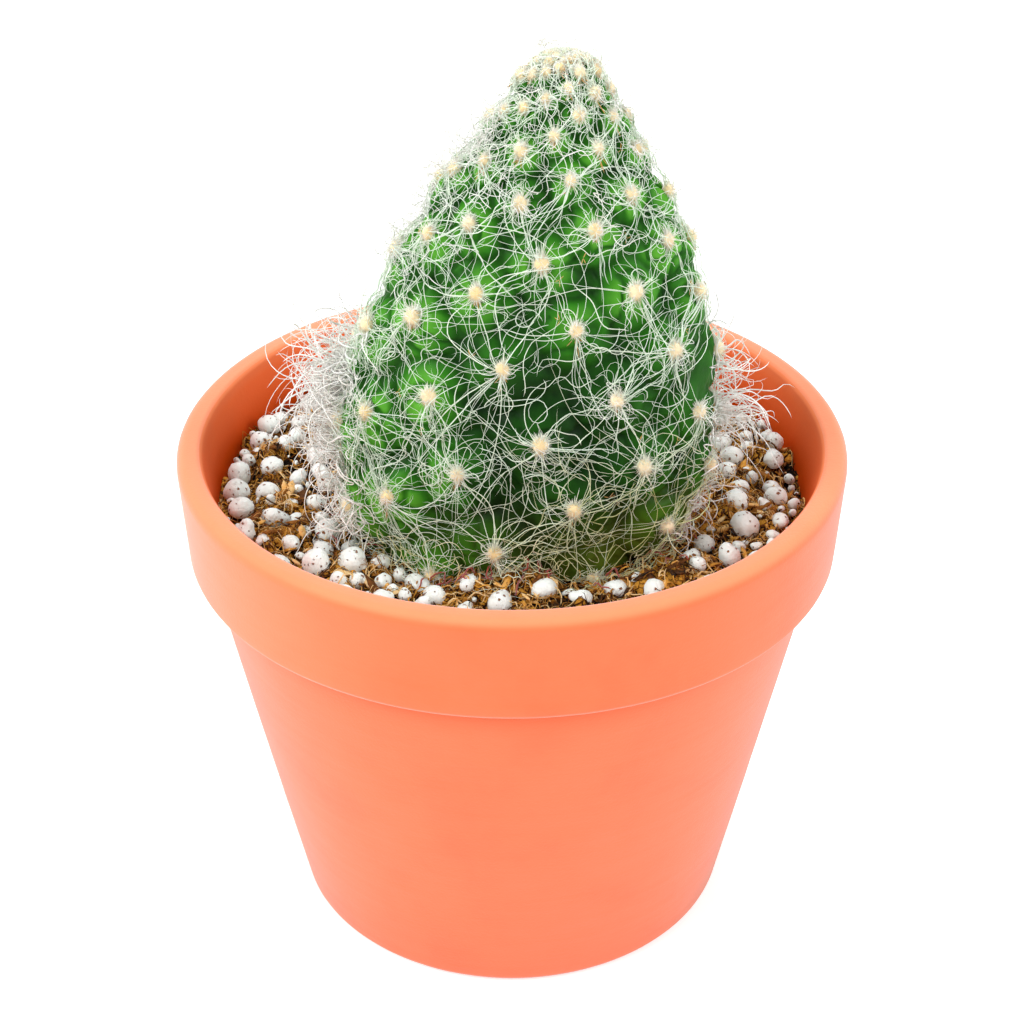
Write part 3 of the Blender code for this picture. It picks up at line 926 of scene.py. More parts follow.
def areoles(plant):
    """The areoles in rings, each ring turned by the twist and set further down than the last.

    The step to the next ring grows as 1 - exp(-distance / young zone), with the distance from 2 mm
    over the tip. The rings are higher at the back, and their areoles crowd a little towards the
    pad's edges. It returns the areoles' roots, normals, tubercles' middles, sizes (which are their
    spacings), turns, heights, and shares of the largest size.
    """
    rng = np.random.default_rng(SEEDS["areoles"])
    drop, drops, steps = FIRST_RING, [], []
    top = plant.top + TIP_TRIM
    while top - drop > plant.foot + 0.010:
        step = plant.ring_step * (1 - math.exp(-(drop + 0.002) / plant.young_zone))
        drops.append(drop)
        steps.append(step)
        drop += step
    ring = np.repeat(np.arange(len(drops)), plant.whorl)
    place = np.tile(np.arange(plant.whorl), len(drops)) / plant.whorl
    turn = plant.phase - plant.twist * ring + TURN * place
    turn = turn + 0.085 * np.sin(turn) - 0.027 * np.sin(2 * turn)
    step = np.array(steps)[ring]
    z = top - np.array(drops)[ring] + BACK_RISE * (1 - np.cos(turn))
    # Those that would be over the tip lie scattered on its dome.
    most = plant.top - MM * np.resize(ON_DOME, len(ring))
    z = np.minimum(z + rng.normal(0, 0.04, len(ring)) * step, most)
    turn = turn + rng.normal(0, math.radians(1.0), len(ring))
    # One more on the very tip.
    z, turn, step = np.append(z, plant.top - 0.0003), np.append(turn, 0.0), np.append(step, step[0])
    wide, thick, _ = section(plant, z)
    around = TURN * np.sqrt((wide**2 + thick**2) / 2) / plant.whorl
    size = np.sqrt(around * step)
    grown = bare_patch(plant, z, turn) < 0.3
    normal = skin_normal(plant, z, turn)
    downhill = unit(np.cross(np.cross([0.0, 0.0, 1.0], normal), normal))
    downhill = np.where(downhill[:, 2:] > 0, -downhill, downhill)
    root = skin_point(plant, z, turn)
    spots = {"root": root, "normal": normal, "middle": root + BELOW * size[:, None] * downhill}
    spots.update(size=size, turn=turn, z=z, share=np.clip(size / size.max(), 0.2, 1))
    return {key: values[grown] for key, values in spots.items()}


def tubercles(points, spots):
    """Height of the crests over the bare form, depth of the skin below them, and a mark for painted
    light and shade.

    A tubercle is a dome about a middle below its areole that falls as a power of the distance.
    Where two domes meet there is a groove, which a dent deepens where the second middle is nearly
    as near. The mark is 1 on the crests and falls to 0 in the grooves.
    """
    first = np.full(points.shape[:-1], 9.0)
    second = first.copy()
    size = first * 0
    for middle, spacing in zip(spots["middle"], spots["size"]):
        away = np.linalg.norm(points - middle, axis=-1) / spacing
        size = np.where(away < first, spacing, size)
        second = np.minimum(second, np.maximum(first, away))
        first = np.minimum(first, away)
    dome = 1 - np.clip(first / DOME_REACH, 0, 1) ** DOME_POWER
    dent = np.exp(-(((second - first) / DENT_WIDE) ** 2))
    depth = size * (TUBERCLE * (dome - 1) - DENT_DEEP * dent)
    return CREST * size, depth, dome * (1 - DENT_SHADE * dent)


def skin_points(plant, spots):
    """Rings from the tip down, closer together near the tip, raised by the tubercles.

    Its marks are how much of a crest each point is, which paints a highlight on the crests and shade
    in the grooves, creases and low middle, and how corky.
    """
    part = (np.arange(SKIN_ROWS) + 0.5) / SKIN_ROWS
    down = (plant.top - plant.foot - 0.004) * (0.35 * part**2 + 0.65 * part**1.35)
    z = (plant.top - down)[:, None]
    turn = np.linspace(0, TURN, SKIN_COLUMNS, endpoint=False)[None, :]
    bare = skin_point(plant, z, turn)
    rise, depth, crest = tubercles(bare, spots)
    smooth = bare_patch(plant, z, turn)
    height = (rise + depth) * (1 - 0.8 * smooth)
    crest = 0.12 + 0.78 * crest
    crest = crest + (0.16 - crest) * smooth
    # Creases 2 to 4 mm apart, where a smooth noise passes through zero, part the skin into facets,
    # and painted shade darkens them.
    crease = np.abs(noise(bare, 0.0036, 61) + 0.35 * noise(bare, 0.0017, 62))
    facet = ease(0.0, 0.30, crease)
    fold = 0.0005 * (facet - 1) + 0.00025 * noise(bare, 0.0030, 63)
    height = height + fold * (1 - 0.8 * smooth)
    crest = crest * (0.35 + 0.65 * facet + 0.65 * (1 - facet) * smooth)
    # Painted shade makes the skin a deeper green low down, from left of the middle to the right.
    x, z = bare[..., 0], bare[..., 2]
    deep = ease(-0.014, -0.002, x) * (1 - 0.3 * ease(0.010, 0.024, x)) * ease(0.128, 0.108, z)
    crest = crest * (1 - 0.9 * deep * (1 - smooth))
    points = bare + skin_normal(plant, z, turn) * height[..., None]
    tip = skin_point(plant, np.array(plant.top), np.array(0.0))
    foot = points[-1].mean(axis=0)
    points = np.concatenate([[tip], points.reshape(-1, 3), [foot]])
    crest = np.concatenate([[1.0], crest.ravel(), [0.0]])
    # Corky skin low down, most on the right of the front.
    age = ease(0.094, 0.078, points[:, 2]) * (0.35 + 0.65 * ease(-0.004, 0.020, points[:, 0]))
    return points, capped(SKIN_ROWS, SKIN_COLUMNS), {"crest": crest, "age": age}


class CACTUS_OT_pad(bpy.types.Operator):
    """Make the pad's green skin with its tubercles"""

    bl_idname = "cactus.pad"
    bl_label = "Pad"

    def execute(self, context):
        plant = context.scene.cactus_plant
        points, faces, marks = skin_points(plant, areoles(plant))
        skin = cactus_skin(plant)
        add_piece("pad_skin", points, faces, skin, ["cactus_pad"], marks)
        return {"FINISHED"}


# --- plant: its hair -------------------------------------------------------------------------
HAIR_STEPS = 18
OUTLINE_STEPS = 1500  # heights that the walks over the skin are read from
LOCKS = 4  # loose locks that leave an areole
HANGING = 2  # how many of them hang down
KEPT_BARE, KEPT_RUBBED = 0.06, 0.4  # shares of hairs left on the smooth patch and the right edge
LONG_SAG, NET_SAG = 0.7, 0.85  # how far hair sinks into the grooves, of their depth


def meridian(plant):
    """Arc lengths from the tip down the pad's mean outline, and the heights that they reach."""
    z = plant.top - (plant.top - plant.foot) * np.linspace(0, 1, OUTLINE_STEPS) ** 2
    wide, thick, _ = section(plant, z)
    run = np.cumsum(np.hypot(np.diff((wide + thick) / 2), np.diff(z)))
    return np.concatenate([[0.0], run]), z


def walk(plant, z, turn, heading, strides):
    """Heights and turns of walks over the bare form, which start at z and turn.

    heading and strides hold one column a step: 0 leads round the pad and a quarter turn up it. A
    stride's sideways part over the local radius adds to the turn, and its upward part comes off the
    arc length from the tip. A walk that passes the tip comes down on the far side.
    """
    arc, level = meridian(plant)
    run = np.interp(-z, -level, arc)
    facing = np.ones(len(z))
    heights, turns = [], []
    for way, stride in zip(heading.T, strides.T):
        wide, thick, _ = section(plant, np.interp(run, arc, level))
        radius = np.hypot(wide * np.cos(turn), thick * np.sin(turn)) + 0.0005
        turn = turn + facing * stride * np.cos(way) / radius
        run = run - facing * stride * np.sin(way)
        passed = run < 0
        run = np.abs(run)
        turn = turn + math.pi * passed
        facing = np.where(passed, -facing, facing)
        heights.append(np.interp(run, arc, level))
        turns.append(turn)
    return np.stack(heights, 1), np.stack(turns, 1)


def over_skin(plant, mix, spots, z, turn, lift, sag):
    """Points at that lift over the skin, where hair sinks by a part of the depth of the grooves.

    Those that would be in the mix lie out over it instead.
    """
    base = skin_point(plant, z, turn)
    normal = skin_normal(plant, z, turn)
    rise, depth, _ = tubercles(base, spots)
    points = base + normal * (rise + sag * depth + lift)[..., None]
    sunk = np.maximum(0, mix.level + 0.0004 - z)
    level = unit(normal * (1.0, 1.0, 0.0))
    points[..., :2] += (level * sunk[..., None])[..., :2]
    floor = mix_height(mix, points[..., 0], points[..., 1]) + 0.0002 + 0.8 * lift
    points[..., 2] = np.where(sunk > 0, floor, np.maximum(points[..., 2], floor))
    return points


def laid(plant, mix, spots, z, turn, heading, lengths, lift, sag, rng):
    """Paths of hairs that walk over the skin from their roots.

    Nearly all of those that cross the smooth patch are left out, and most of those that run along
    the pad's right edge, where they are worn off.
    """
    strides = np.repeat(lengths[:, None] / (HAIR_STEPS - 1), HAIR_STEPS, axis=1)
    z, turn = walk(plant, z, turn, heading, strides)
    crossing = bare_patch(plant, z, turn).max(axis=1) > 0.15
    highlight_and_rubbed = (np.sin(turn) > 0.93).mean(axis=1) > 0.5
    share_kept = np.where(crossing, KEPT_BARE, np.where(highlight_and_rubbed, KEPT_RUBBED, 1.0))
    kept = rng.random(len(z)) < share_kept
    return over_skin(plant, mix, spots, z[kept], turn[kept], lift[kept], sag)


def long_hairs(plant, mix, spots, chosen, rng):
    """Paths of the long hairs that leave the chosen areoles and lie over the skin.

    A hair's heading turns more and more along it, and sways. Half the hairs of an areole share the
    heading, turn and sway of a few locks, of which two hang nearly straight down, and the rest go
    their own way. Young areoles have fewer and shorter ones. A hair leaves its areole from the
    height of its felt, and arches a little on its way.
    """
    number = np.round(plant.hairs * (0.20 + 0.80 * spots["share"][chosen])).astype(int)
    which = np.repeat(chosen, number)
    total = len(which)
    part = np.linspace(0, 1, HAIR_STEPS)
    in_lock = (rng.random(total) < 0.50)[:, None]
    lock = rng.integers(0, LOCKS, total)
    hanging = in_lock & (lock < HANGING)[:, None]

    def drawn(low, high, spread):
        """A random value a hair, or its lock's with that spread."""
        shared = rng.uniform(low, high, (len(spots["z"]), LOCKS))[which, lock]
        own = rng.uniform(low, high, total)
        return np.where(in_lock, (shared + rng.normal(0, spread, total))[:, None], own[:, None])

    aim = drawn(0, TURN, 0.16)
    # A hanging lock keeps a quarter of its random heading's distance from straight down.
    aim = np.where(hanging, 0.75 * TURN + 0.25 * (aim - TURN / 2), aim)
    curl = drawn(-2.6, 2.6, 0.4) * np.where(hanging, 0.45, 1.0)
    sway = drawn(0.0, 0.7, 0.1)
    beat = drawn(0.6, 1.8, 0.1)
    start = drawn(0, TURN, 0.3)
    swung = np.sin(beat * TURN * part + start) - np.sin(start)
    heading = aim + curl * part**1.5 + sway * part * swung
    lengths = plant.hair_length * np.clip(rng.lognormal(0, 0.45, total), 0.35, 2.0)
    lengths = lengths * spots["share"][which] ** 0.7 * np.where(hanging[:, 0], 1.2, 1.0)
    arch = rng.uniform(0.0001, 0.0008, (total, 1))
    arch = arch * np.where(rng.random((total, 1)) < 0.14, rng.uniform(2, 6, (total, 1)), 1)
    arch = arch * (0.4 + 0.6 * spots["share"][which, None])
    lift = 0.00010 + arch * np.sin(math.pi * part**0.8) ** 2 + 0.0009 * (1 - part) ** 6
    lift = lift + 0.0002 * np.abs(np.sin(beat * math.pi * part * 2.3 + start))
    z, turn = spots["z"][which], spots["turn"][which]
    return laid(plant, mix, spots, z, turn, heading, lengths, lift, LONG_SAG, rng)


def netted_hairs(plant, mix, spots, side, sides, rng):
    """Paths of the curly hairs that lie anywhere in one sector, down in the grooves.

    Random places all round the pad are kept if they are in the sector, and as often as the pad is
    wide there, times a smooth noise that gathers them in webs, oftener near the tip, and less where
    the skin shows. A hair's heading turns steadily one way, and sways.
    """
    number = 6 * plant.netted_hairs  # places tried, most of which are dropped
    z = rng.uniform(mix.level - SHOWN, plant.top - 0.0015, number)
    turn = rng.uniform(0, TURN, number)
    wide, thick, _ = section(plant, z)
    width = np.hypot(wide * np.cos(turn), thick * np.sin(turn)) / plant.half_width
    x = wide * np.sin(turn)
    # The skin shows most high up on the left, low down all round, and on the right.
    thin = 0.3 * ease(0.112, 0.122, z) * ease(0.138, 0.126, z) * ease(0.006, -0.010, x)
    thin = thin + 0.34 * ease(0.100, 0.088, z)
    thin = thin + 0.45 * ease(0.124, 0.114, z) * ease(0.008, 0.018, x)
    # Half as many lie along the edges, but more low on the left, and most in a veil above that.
    left = ease(-0.010, -0.018, x) * ease(0.086, 0.091, z) * ease(0.118, 0.112, z)
    veil = ease(-0.80, -0.92, np.sin(turn)) * ease(0.100, 0.106, z) * ease(0.134, 0.128, z)
    edge = 0.5 * np.sin(turn) ** 8 * (1 - left) * (1 - veil) - 0.45 * left - 0.9 * veil
    web = 0.45 + 1.1 * ease(-0.30, 0.30, noise(skin_point(plant, z, turn), 0.0070, 76))
    tip = 1 + 1.6 * ease(0.128, 0.146, z)
    kept = rng.random(number) < 0.255 * web * tip * width * (1 - thin) * (1 - edge)
    kept &= sector(turn, sides) == side
    z, turn = z[kept], turn[kept]
    part = np.linspace(0, 1, HAIR_STEPS)
    aim, start = rng.uniform(0, TURN, (2, len(z), 1))
    curl = rng.normal(0, 3.4, (len(z), 1))
    sway, beat = rng.uniform((0.1, 0.7), (1.0, 2.2), (len(z), 2)).T[..., None]
    heading = aim + curl * part + sway * np.sin(beat * TURN * part + start)
    lengths = rng.uniform(0.007, 0.018, len(z)) * (0.5 + 0.5 * width[kept])
    lift = rng.uniform(0.0001, 0.0007, (len(z), 1))
    lift = lift * (0.5 + np.abs(np.sin(beat * 4 * part + start)))
    return laid(plant, mix, spots, z, turn, heading, lengths, lift, NET_SAG, rng)


def fine_hairs(plant, pot, mix, spots, rng):
    """Paths of fine curls that leave random areoles and stand out from the skin.

    The large ones have the most, as their spacing to the power 1.5, but for those near the tip.
    """
    weight = (spots["size"] / spots["size"].max()) ** 1.5 + 0.3 * ease(0.126, 0.142, spots["z"])
    which = rng.choice(len(spots["z"]), plant.fine_hairs, p=weight / weight.sum())
    normal = spots["normal"][which]
    way = unit(normal * 0.6 + rng.normal(0, 0.6, normal.shape))
    lengths = rng.uniform(0.004, 0.009, len(which)) * (0.45 + 0.55 * spots["share"][which])
    root = spots["root"][which] + 0.0012 * normal
    curls = rng.uniform(1.5, 6, len(which))
    return kept_clear(plant, pot, mix, free_curls(root, way, lengths, curls, 0.2, rng))


def hair_tone(paths, rng):
    """From 0, yellow, to 1, white, for each hair: they yellow low on the right."""
    x, z = paths[:, 0, 0], paths[:, 0, 2]
    old = ease(0.104, 0.082, z) * ease(-0.012, 0.014, x)
    white = rng.uniform(0.82, 1.0, len(paths))
    return np.clip(white - old * rng.uniform(0.3, 1.0, len(paths)), 0, 1)


def hair_radii(plant, total, steps, rng):
    """Radii along a hair, which narrows by half over its second half. A few hairs are thick."""
    taper = 1 - 0.5 * ease(0.5, 1.0, np.linspace(0, 1, steps))
    return plant.hair_radius * (0.60 + 1.00 * rng.random((total, 1)) ** 2) * taper


def sector(turn, sectors):
    """Which of so many equal sectors round the pad; the first is centred on the front."""
    return np.floor(turn / TURN * sectors + 0.5).astype(int) % sectors


class CACTUS_OT_hair(bpy.types.Operator):
    """Make the white hair: a piece for each side of the pad, and one of fine hair all round"""

    bl_idname = "cactus.hair"
    bl_label = "Long hair"

    def execute(self, context):
        plant, mix = context.scene.cactus_plant, context.scene.cactus_mix
        spots = areoles(plant)
        finish = strand_material("plant_hair", plant.hair, plant.hair_old, 0.5)
        names = ("front", "front_right", "back_right", "back", "back_left", "front_left")
        sides = sector(spots["turn"], len(names))
        shown = spots["z"] > mix.level - SHOWN
        for side, name in enumerate(names):
            rng = np.random.default_rng(SEEDS["hair"] + side)
            chosen = np.flatnonzero((sides == side) & shown)
            rooted = long_hairs(plant, mix, spots, chosen, rng)
            netted = netted_hairs(plant, mix, spots, side, len(names), rng)
            paths = np.concatenate([rooted, netted])
            radii = hair_radii(plant, len(paths), HAIR_STEPS, rng)
            add_strands(f"hair_{name}", paths, radii, hair_tone(paths, rng), finish)
        rng = np.random.default_rng(SEEDS["fine"])
        spots = {key: values[shown] for key, values in spots.items()}
        paths = fine_hairs(plant, context.scene.cactus_pot, mix, spots, rng)
        radii = 0.7 * hair_radii(plant, len(paths), WOOL_STEPS, rng)
        finish = strand_material("fine_plant_hair", plant.wool, plant.hair_old, 0.5, down=0.8)
        add_strands("hair_fine", paths, radii, hair_tone(paths, rng), finish)
        return {"FINISHED"}


# --- plant: its wool -------------------------------------------------------------------------
WOOL_STEPS = 16
# Each row of curls: the turns in degrees and the heights between which its tufts stand, how many
# tufts and curls, the way that they lean, how much they spread, their lengths, curl and droop.
WOOL = {
    "wool_left": (
        ((-132, -92), (0.086, 0.101), 22, 165, (-1.2, 0, 0), 0.55, (0.008, 0.016), (1, 6), 0.3),
        ((-128, -90), (0.096, 0.110), 26, 255, (-1.4, 0, 0), 0.50, (0.008, 0.018), (1, 5), 0.3),
        ((-120, -92), (0.096, 0.108), 18, 110, (-1.2, -0.1, 0), 0.3, (0.015, 0.023), (1, 6), 0.4),
        ((-110, -66), (0.080, 0.092), 16, 110, (-0.9, -0.3, -0.1), 0.6, (0.008, 0.015), (1, 5), 0.6),
        ((-96, -66), (0.084, 0.114), 30, 90, (-0.6, -0.8, 0.1), 0.6, (0.003, 0.008), (1, 5), 0.2),
    ),
    "wool_right": (
        ((80, 130), (0.084, 0.096), 16, 60, (0.6, 0, 0), 0.50, (0.006, 0.011), (1, 6), 0.4),
        ((82, 100), (0.093, 0.102), 7, 50, (0.8, 0, 0.7), 0.28, (0.010, 0.017), (1.0, 2.2), 1.1),
        ((80, 120), (0.098, 0.110), 16, 90, (0.7, 0.1, 0.3), 0.50, (0.006, 0.013), (1, 3), 0.4),
        ((60, 115), (0.080, 0.087), 9, 50, (0.4, 0, 0.1), 0.60, (0.004, 0.010), (1, 6), 0.4),
    ),
    "wool_crown": (
        ((-140, -60), (0.126, 0.151), 40, 330, (-0.6, 0, 0.3), 0.6, (0.004, 0.010), (1, 4), 0.2),
        ((55, 130), (0.128, 0.152), 24, 130, (0.6, 0, 0.3), 0.6, (0.002, 0.006), (1, 5), 0.2),
        ((-90, 30), (0.130, 0.1545), 44, 90, (-0.3, -0.2, 0.2), 0.8, (0.004, 0.009), (1, 3), 0.2),
    ),
    "wool_foot": (
        ((-75, 75), (0.0765, 0.0815), 34, 110, (0, -0.5, 0.1), 0.7, (0.004, 0.010), (1, 5), 0.5),
        ((105, 255), (0.0765, 0.0815), 26, 100, (0, 0.5, 0.1), 0.7, (0.004, 0.010), (1, 5), 0.5),
    ),
}
WOOL_THICKNESS = {"wool_left": 1.65, "wool_right": 1.5, "wool_crown": 0.9, "wool_foot": 0.9}
PAD_CLEARANCE, MIX_CLEARANCE, WALL_CLEARANCE = 0.0012, 0.0004, 0.0006  # of free curls


def free_curls(root, way, lengths, curl, droop, rng):
    """Paths that curl freely in space.

    The direction swings from way towards a random one across it, as the cosine and sine of an
    angle that grows to the curl as the way along to the power 1.7, so that the ends are hooked. It
    sways along a third one, and leans down by droop. The path is the running sum of these
    directions.
    """
    total = len(root)
    part = np.linspace(0, 1, WOOL_STEPS)[None, :, None]
    aside = unit(np.cross(way, unit(rng.normal(0, 1, (total, 3)))))
    third = np.cross(way, aside)
    swing = curl[:, None, None] * part**1.7
    beat = rng.uniform(0.8, 2.2, (total, 1, 1))
    start = rng.uniform(0, TURN, (total, 1, 1))
    sway = rng.uniform(0.1, 0.7, (total, 1, 1)) * np.sin(beat * TURN * part + start)
    heading = way[:, None] * np.cos(swing) + aside[:, None] * np.sin(swing) + third[:, None] * sway
    heading = unit(heading + np.array([0, 0, -droop]) * part)
    steps = heading * (lengths / (WOOL_STEPS - 1))[:, None, None]
    return root[:, None] + np.cumsum(steps, axis=1) - steps[:, :1]


def kept_clear(plant, pot, mix, paths):
    """The paths, pushed out of the pad, up out of the mix and in from the pot's wall."""
    z = np.clip(paths[..., 2], plant.foot + 0.001, plant.top - 0.001)
    wide, thick, middle = section(plant, z)
    x, y = paths[..., 0] - middle, paths[..., 1] - plant.centre_y
    depth = np.hypot(x / (wide + PAD_CLEARANCE), y / (thick + PAD_CLEARANCE))
    push = 1 / np.clip(depth, 0.05, 1)
    paths = np.stack([middle + x * push, plant.centre_y + y * push, paths[..., 2]], -1)
    floor = mix_height(mix, paths[..., 0], paths[..., 1]) + MIX_CLEARANCE
    low = floor - paths[..., 2]
    paths[..., 2] = np.where(low > 0, floor + 0.15 * low, paths[..., 2])
    return inside_pot(pot, paths, WALL_CLEARANCE)


def wool_paths(plant, pot, mix, row, rng):
    """Curls of one row of the table, from tufts at random places on its part of the skin."""
    turns, heights, tufts, number, lean, spread, lengths, curl, droop = row
    tuft_turn, tuft_z = rng.uniform(*np.radians(turns), tufts), rng.uniform(*heights, tufts)
    which = rng.integers(0, tufts, number)
    z = tuft_z[which] + rng.normal(0, 0.0012, number)
    turn = tuft_turn[which] + rng.normal(0, 0.08, number)
    root = skin_point(plant, z, turn)
    way = unit(skin_normal(plant, z, turn) * 0.7 + np.array(lean))
    way = unit(way + spread * rng.normal(0, 1, (number, 3)))
    curls = rng.uniform(*curl, number)
    paths = free_curls(root, way, rng.uniform(*lengths, number), curls, droop, rng)
    return kept_clear(plant, pot, mix, paths)


class CACTUS_OT_wool(bpy.types.Operator):
    """Make the woolly hair that stands out from the pad's two edges, its tip and its foot"""

    bl_idname = "cactus.wool"
    bl_label = "Wool"

    def execute(self, context):
        scene = context.scene
        plant, pot, mix = scene.cactus_plant, scene.cactus_pot, scene.cactus_mix
        finish = strand_material("plant_wool", plant.wool, plant.wool_deep, 0.5, down=0.8)
        foot_finish = strand_material("foot_wool", plant.foot_wool, plant.hair_old, 0.5)
        for seed, (name, rows) in enumerate(WOOL.items(), start=SEEDS["wool"]):
            rng = np.random.default_rng(seed)
            paths = np.concatenate([wool_paths(plant, pot, mix, row, rng) for row in rows])
            radii = WOOL_THICKNESS[name] * hair_radii(plant, len(paths), WOOL_STEPS, rng)
            tone = rng.uniform(0.2, 1.0, len(paths))
            add_strands(name, paths, radii, tone, foot_finish if name == "wool_foot" else finish)
        return {"FINISHED"}


# --- plant: its areoles ----------------------------------------------------------------------
BRISTLE_STEPS = 3
RAY_STEPS = 5
BRISTLES, RAYS, GLOCHIDS = 260, 22, 6  # on each areole
BRISTLE_RADIUS, RAY_RADIUS, GLOCHID_RADIUS = 0.000075, 0.000055, 0.000065
TUFT_WIDE, TUFT_TALL = 0.88, 1.15  # a tuft's stretch round the pad and along it
MEAN_BRISTLE = 0.0019  # mean length of the bristles
FELT_RADIUS = 0.0014
FELT_ROWS, FELT_COLUMNS = 8, 12
FALLEN = 45  # little bunches of golden bristles that lie on the skin
IN_BUNCH = 3


def skin_axes(out):
    """The directions out of the skin, down it and round it."""
    round_it = unit(np.cross([0.0, 0.0, 1.0], out))
    down = np.cross(round_it, out)
    return out, np.where(down[:, 2:] > 0, -down, down), round_it


def areole_frame(spots):
    """Root on the tubercle, and the directions out, down the skin and round it."""
    rise, depth, _ = tubercles(spots["root"], spots)
    root = spots["root"] + (rise + depth - 0.0002)[:, None] * spots["normal"]
    return root, *skin_axes(spots["normal"])


def tuft(axes, number, lengths, rises, steps, droop, scale, rng):
    """Bristles that leave each areole as a tall half ball, and the sine of each one's rise.

    A bristle is straight but for a droop towards the skin that grows as the square of the way
    along. Their lengths, drawn between the two given, are times the areole's own scale.
    """
    root, out, down, round_it = axes
    total = len(root)
    turn = rng.uniform(0, TURN, (total, number, 1))
    rise = rng.uniform(*rises, (total, number, 1))
    flat = np.sqrt(1 - rise**2)
    across, along = TUFT_WIDE * flat * np.cos(turn), TUFT_TALL * flat * np.sin(turn)
    way = across * round_it[:, None] + along * down[:, None] + rise * out[:, None]
    part = np.linspace(0, 1, steps)[None, None, :, None]
    reach = (scale[:, None] * rng.uniform(*lengths, (total, number)))[..., None, None]
    bent = part * way[:, :, None] - droop * part**2 * out[:, None, None]
    paths = root[:, None, None] + reach * bent
    return paths.reshape(-1, steps, 3), rise.reshape(-1)


class CACTUS_OT_areoles(bpy.types.Operator):
    """Make the areoles: felt cushions, cream bristles, a ring of fine rays and golden glochids"""

    bl_idname = "cactus.areoles"
    bl_label = "Areoles"

    def execute(self, context):
        scene = context.scene
        plant = scene.cactus_plant
        spots = areoles(plant)
        shown = spots["z"] > scene.cactus_mix.level - SHOWN
        spots = {key: values[shown] for key, values in spots.items()}
        rng = np.random.default_rng(SEEDS["bristles"])
        axes = areole_frame(spots)
        root, out, down, round_it = axes
        total = len(root)
        scale = (0.55 + 0.45 * spots["share"]) * rng.uniform(0.88, 1.10, total)
        cream = strand_material("areole_felt", plant.bristle, plant.felt, 0.8)
        # The felt is a half ball that the bristles hide.
        stretch = np.repeat(FELT_RADIUS * scale[:, None], 3, axis=1)
        points, faces = lumps(root + 0.0002 * out, stretch, FELT_ROWS, FELT_COLUMNS, 0.3, 0.0, rng)
        tone = np.repeat(rng.uniform(0.1, 0.5, total), FELT_ROWS * FELT_COLUMNS + 2)
        add_piece("areole_felt", points, faces, cream, marks={"tone": tone})
        lengths, rises = (0.00150, 0.00225), (-0.1, 1.0)
        paths, rise = tuft(axes, BRISTLES, lengths, rises, BRISTLE_STEPS, 0.0, scale, rng)
        # Bristles are whitest where they point up the pad, and golden low down.
        lowness = (paths[:, -1] - paths[:, 0]) / MEAN_BRISTLE * np.repeat(down, BRISTLES, axis=0)
        own = rng.normal(0.50, 0.15, len(rise)) - 0.40 * lowness.sum(-1) + 0.3 * (1 - rise)
        tone = np.clip(own[:, None] + np.linspace(0, 0.2, BRISTLE_STEPS), 0, 1)
        add_strands("areole_bristles", paths, BRISTLE_RADIUS, tone, cream)
        paths, _ = tuft(axes, RAYS, (0.0020, 0.0044), (0.0, 0.6), RAY_STEPS, 0.12, scale, rng)
        pale = strand_material("areole_rays", plant.hair, plant.felt, 0.6)
        tone = np.tile(np.linspace(0.5, 1.0, RAY_STEPS), (len(paths), 1))
        add_strands("areole_rays", paths, RAY_RADIUS, tone, pale)
        golden = strand_material("glochids", plant.gold, plant.gold_deep, 0.5)
        low = (root + 0.0011 * scale[:, None] * down, unit(out * 0.6 + down), down, round_it)
        reach = rng.uniform(0.2, 1.0, total) ** 1.5
        paths, _ = tuft(low, GLOCHIDS, (0.0013, 0.0030), (0.70, 1.0), RAY_STEPS, 0.1, reach, rng)
        # Some have fallen, and lie on the skin in little bunches.
        z, turn = rng.uniform(0.080, 0.150, FALLEN), rng.uniform(0, TURN, FALLEN)
        normal = skin_normal(plant, z, turn)
        bare = skin_point(plant, z, turn)
        rise, depth, _ = tubercles(bare, spots)
        axes = (bare + (rise + depth + 0.0003)[:, None] * normal, *skin_axes(normal))
        lengths, alike = (0.0006, 0.0014), np.ones(FALLEN)
        lying, _ = tuft(axes, IN_BUNCH, lengths, (0.1, 0.5), RAY_STEPS, 0.2, alike, rng)
        paths = np.concatenate([paths, lying])
        add_strands("glochids", paths, GLOCHID_RADIUS, rng.uniform(0, 1, len(paths)), golden)
        return {"FINISHED"}


# --- stage -----------------------------------------------------------------------------------
FLOOR_REACH = 3.0
FLOOR_DROP = 0.0002  # how far the floor is below the pot, so that the two never share a plane
PAPER, PAPER_GLOW = 0.80, 0.56  # what the floor reflects, and what camera rays see on top
WORLD_STRENGTH = 0.50
LAMPS = (  # name, place and power
    ("key", (-0.85, -0.50, 0.70), 10.0),
    ("fill", (0.90, -0.35, 0.50), 6.0),
    ("top", (-0.05, 0.22, 1.10), 5.9),
)
LAMP_SIZE = 0.7
LAMP_TARGET = (0.0, 0.0, 0.07)
SENSOR = 36.0  # its width in millimetres


def floor_material():
    """A white paper sweep. Camera rays see it lifted to white, and it still takes the shadow."""
    made, tree, coords = new_material("white_sweep")
    grain = add(tree, "TexNoise", {"Vector": coords, "Scale": 1 / 0.002})
    bump = add(tree, "Bump", {"Height": grain, "Distance": 0.00001})
    paper = add(tree, "BsdfDiffuse", {"Color": (PAPER, PAPER, PAPER, 1.0), "Normal": bump})
    rays = add(tree, "LightPath", out="Is Camera Ray")
    seen = add(tree, "Math", {0: rays, 1: PAPER_GLOW}, operation="MULTIPLY")
    glow = add(tree, "Emission", {"Color": (1, 1, 1, 1), "Strength": seen})
    both = add(tree, "AddShader", {0: paper, 1: glow})
    add(tree, "OutputMaterial", {"Surface": both})
    return made


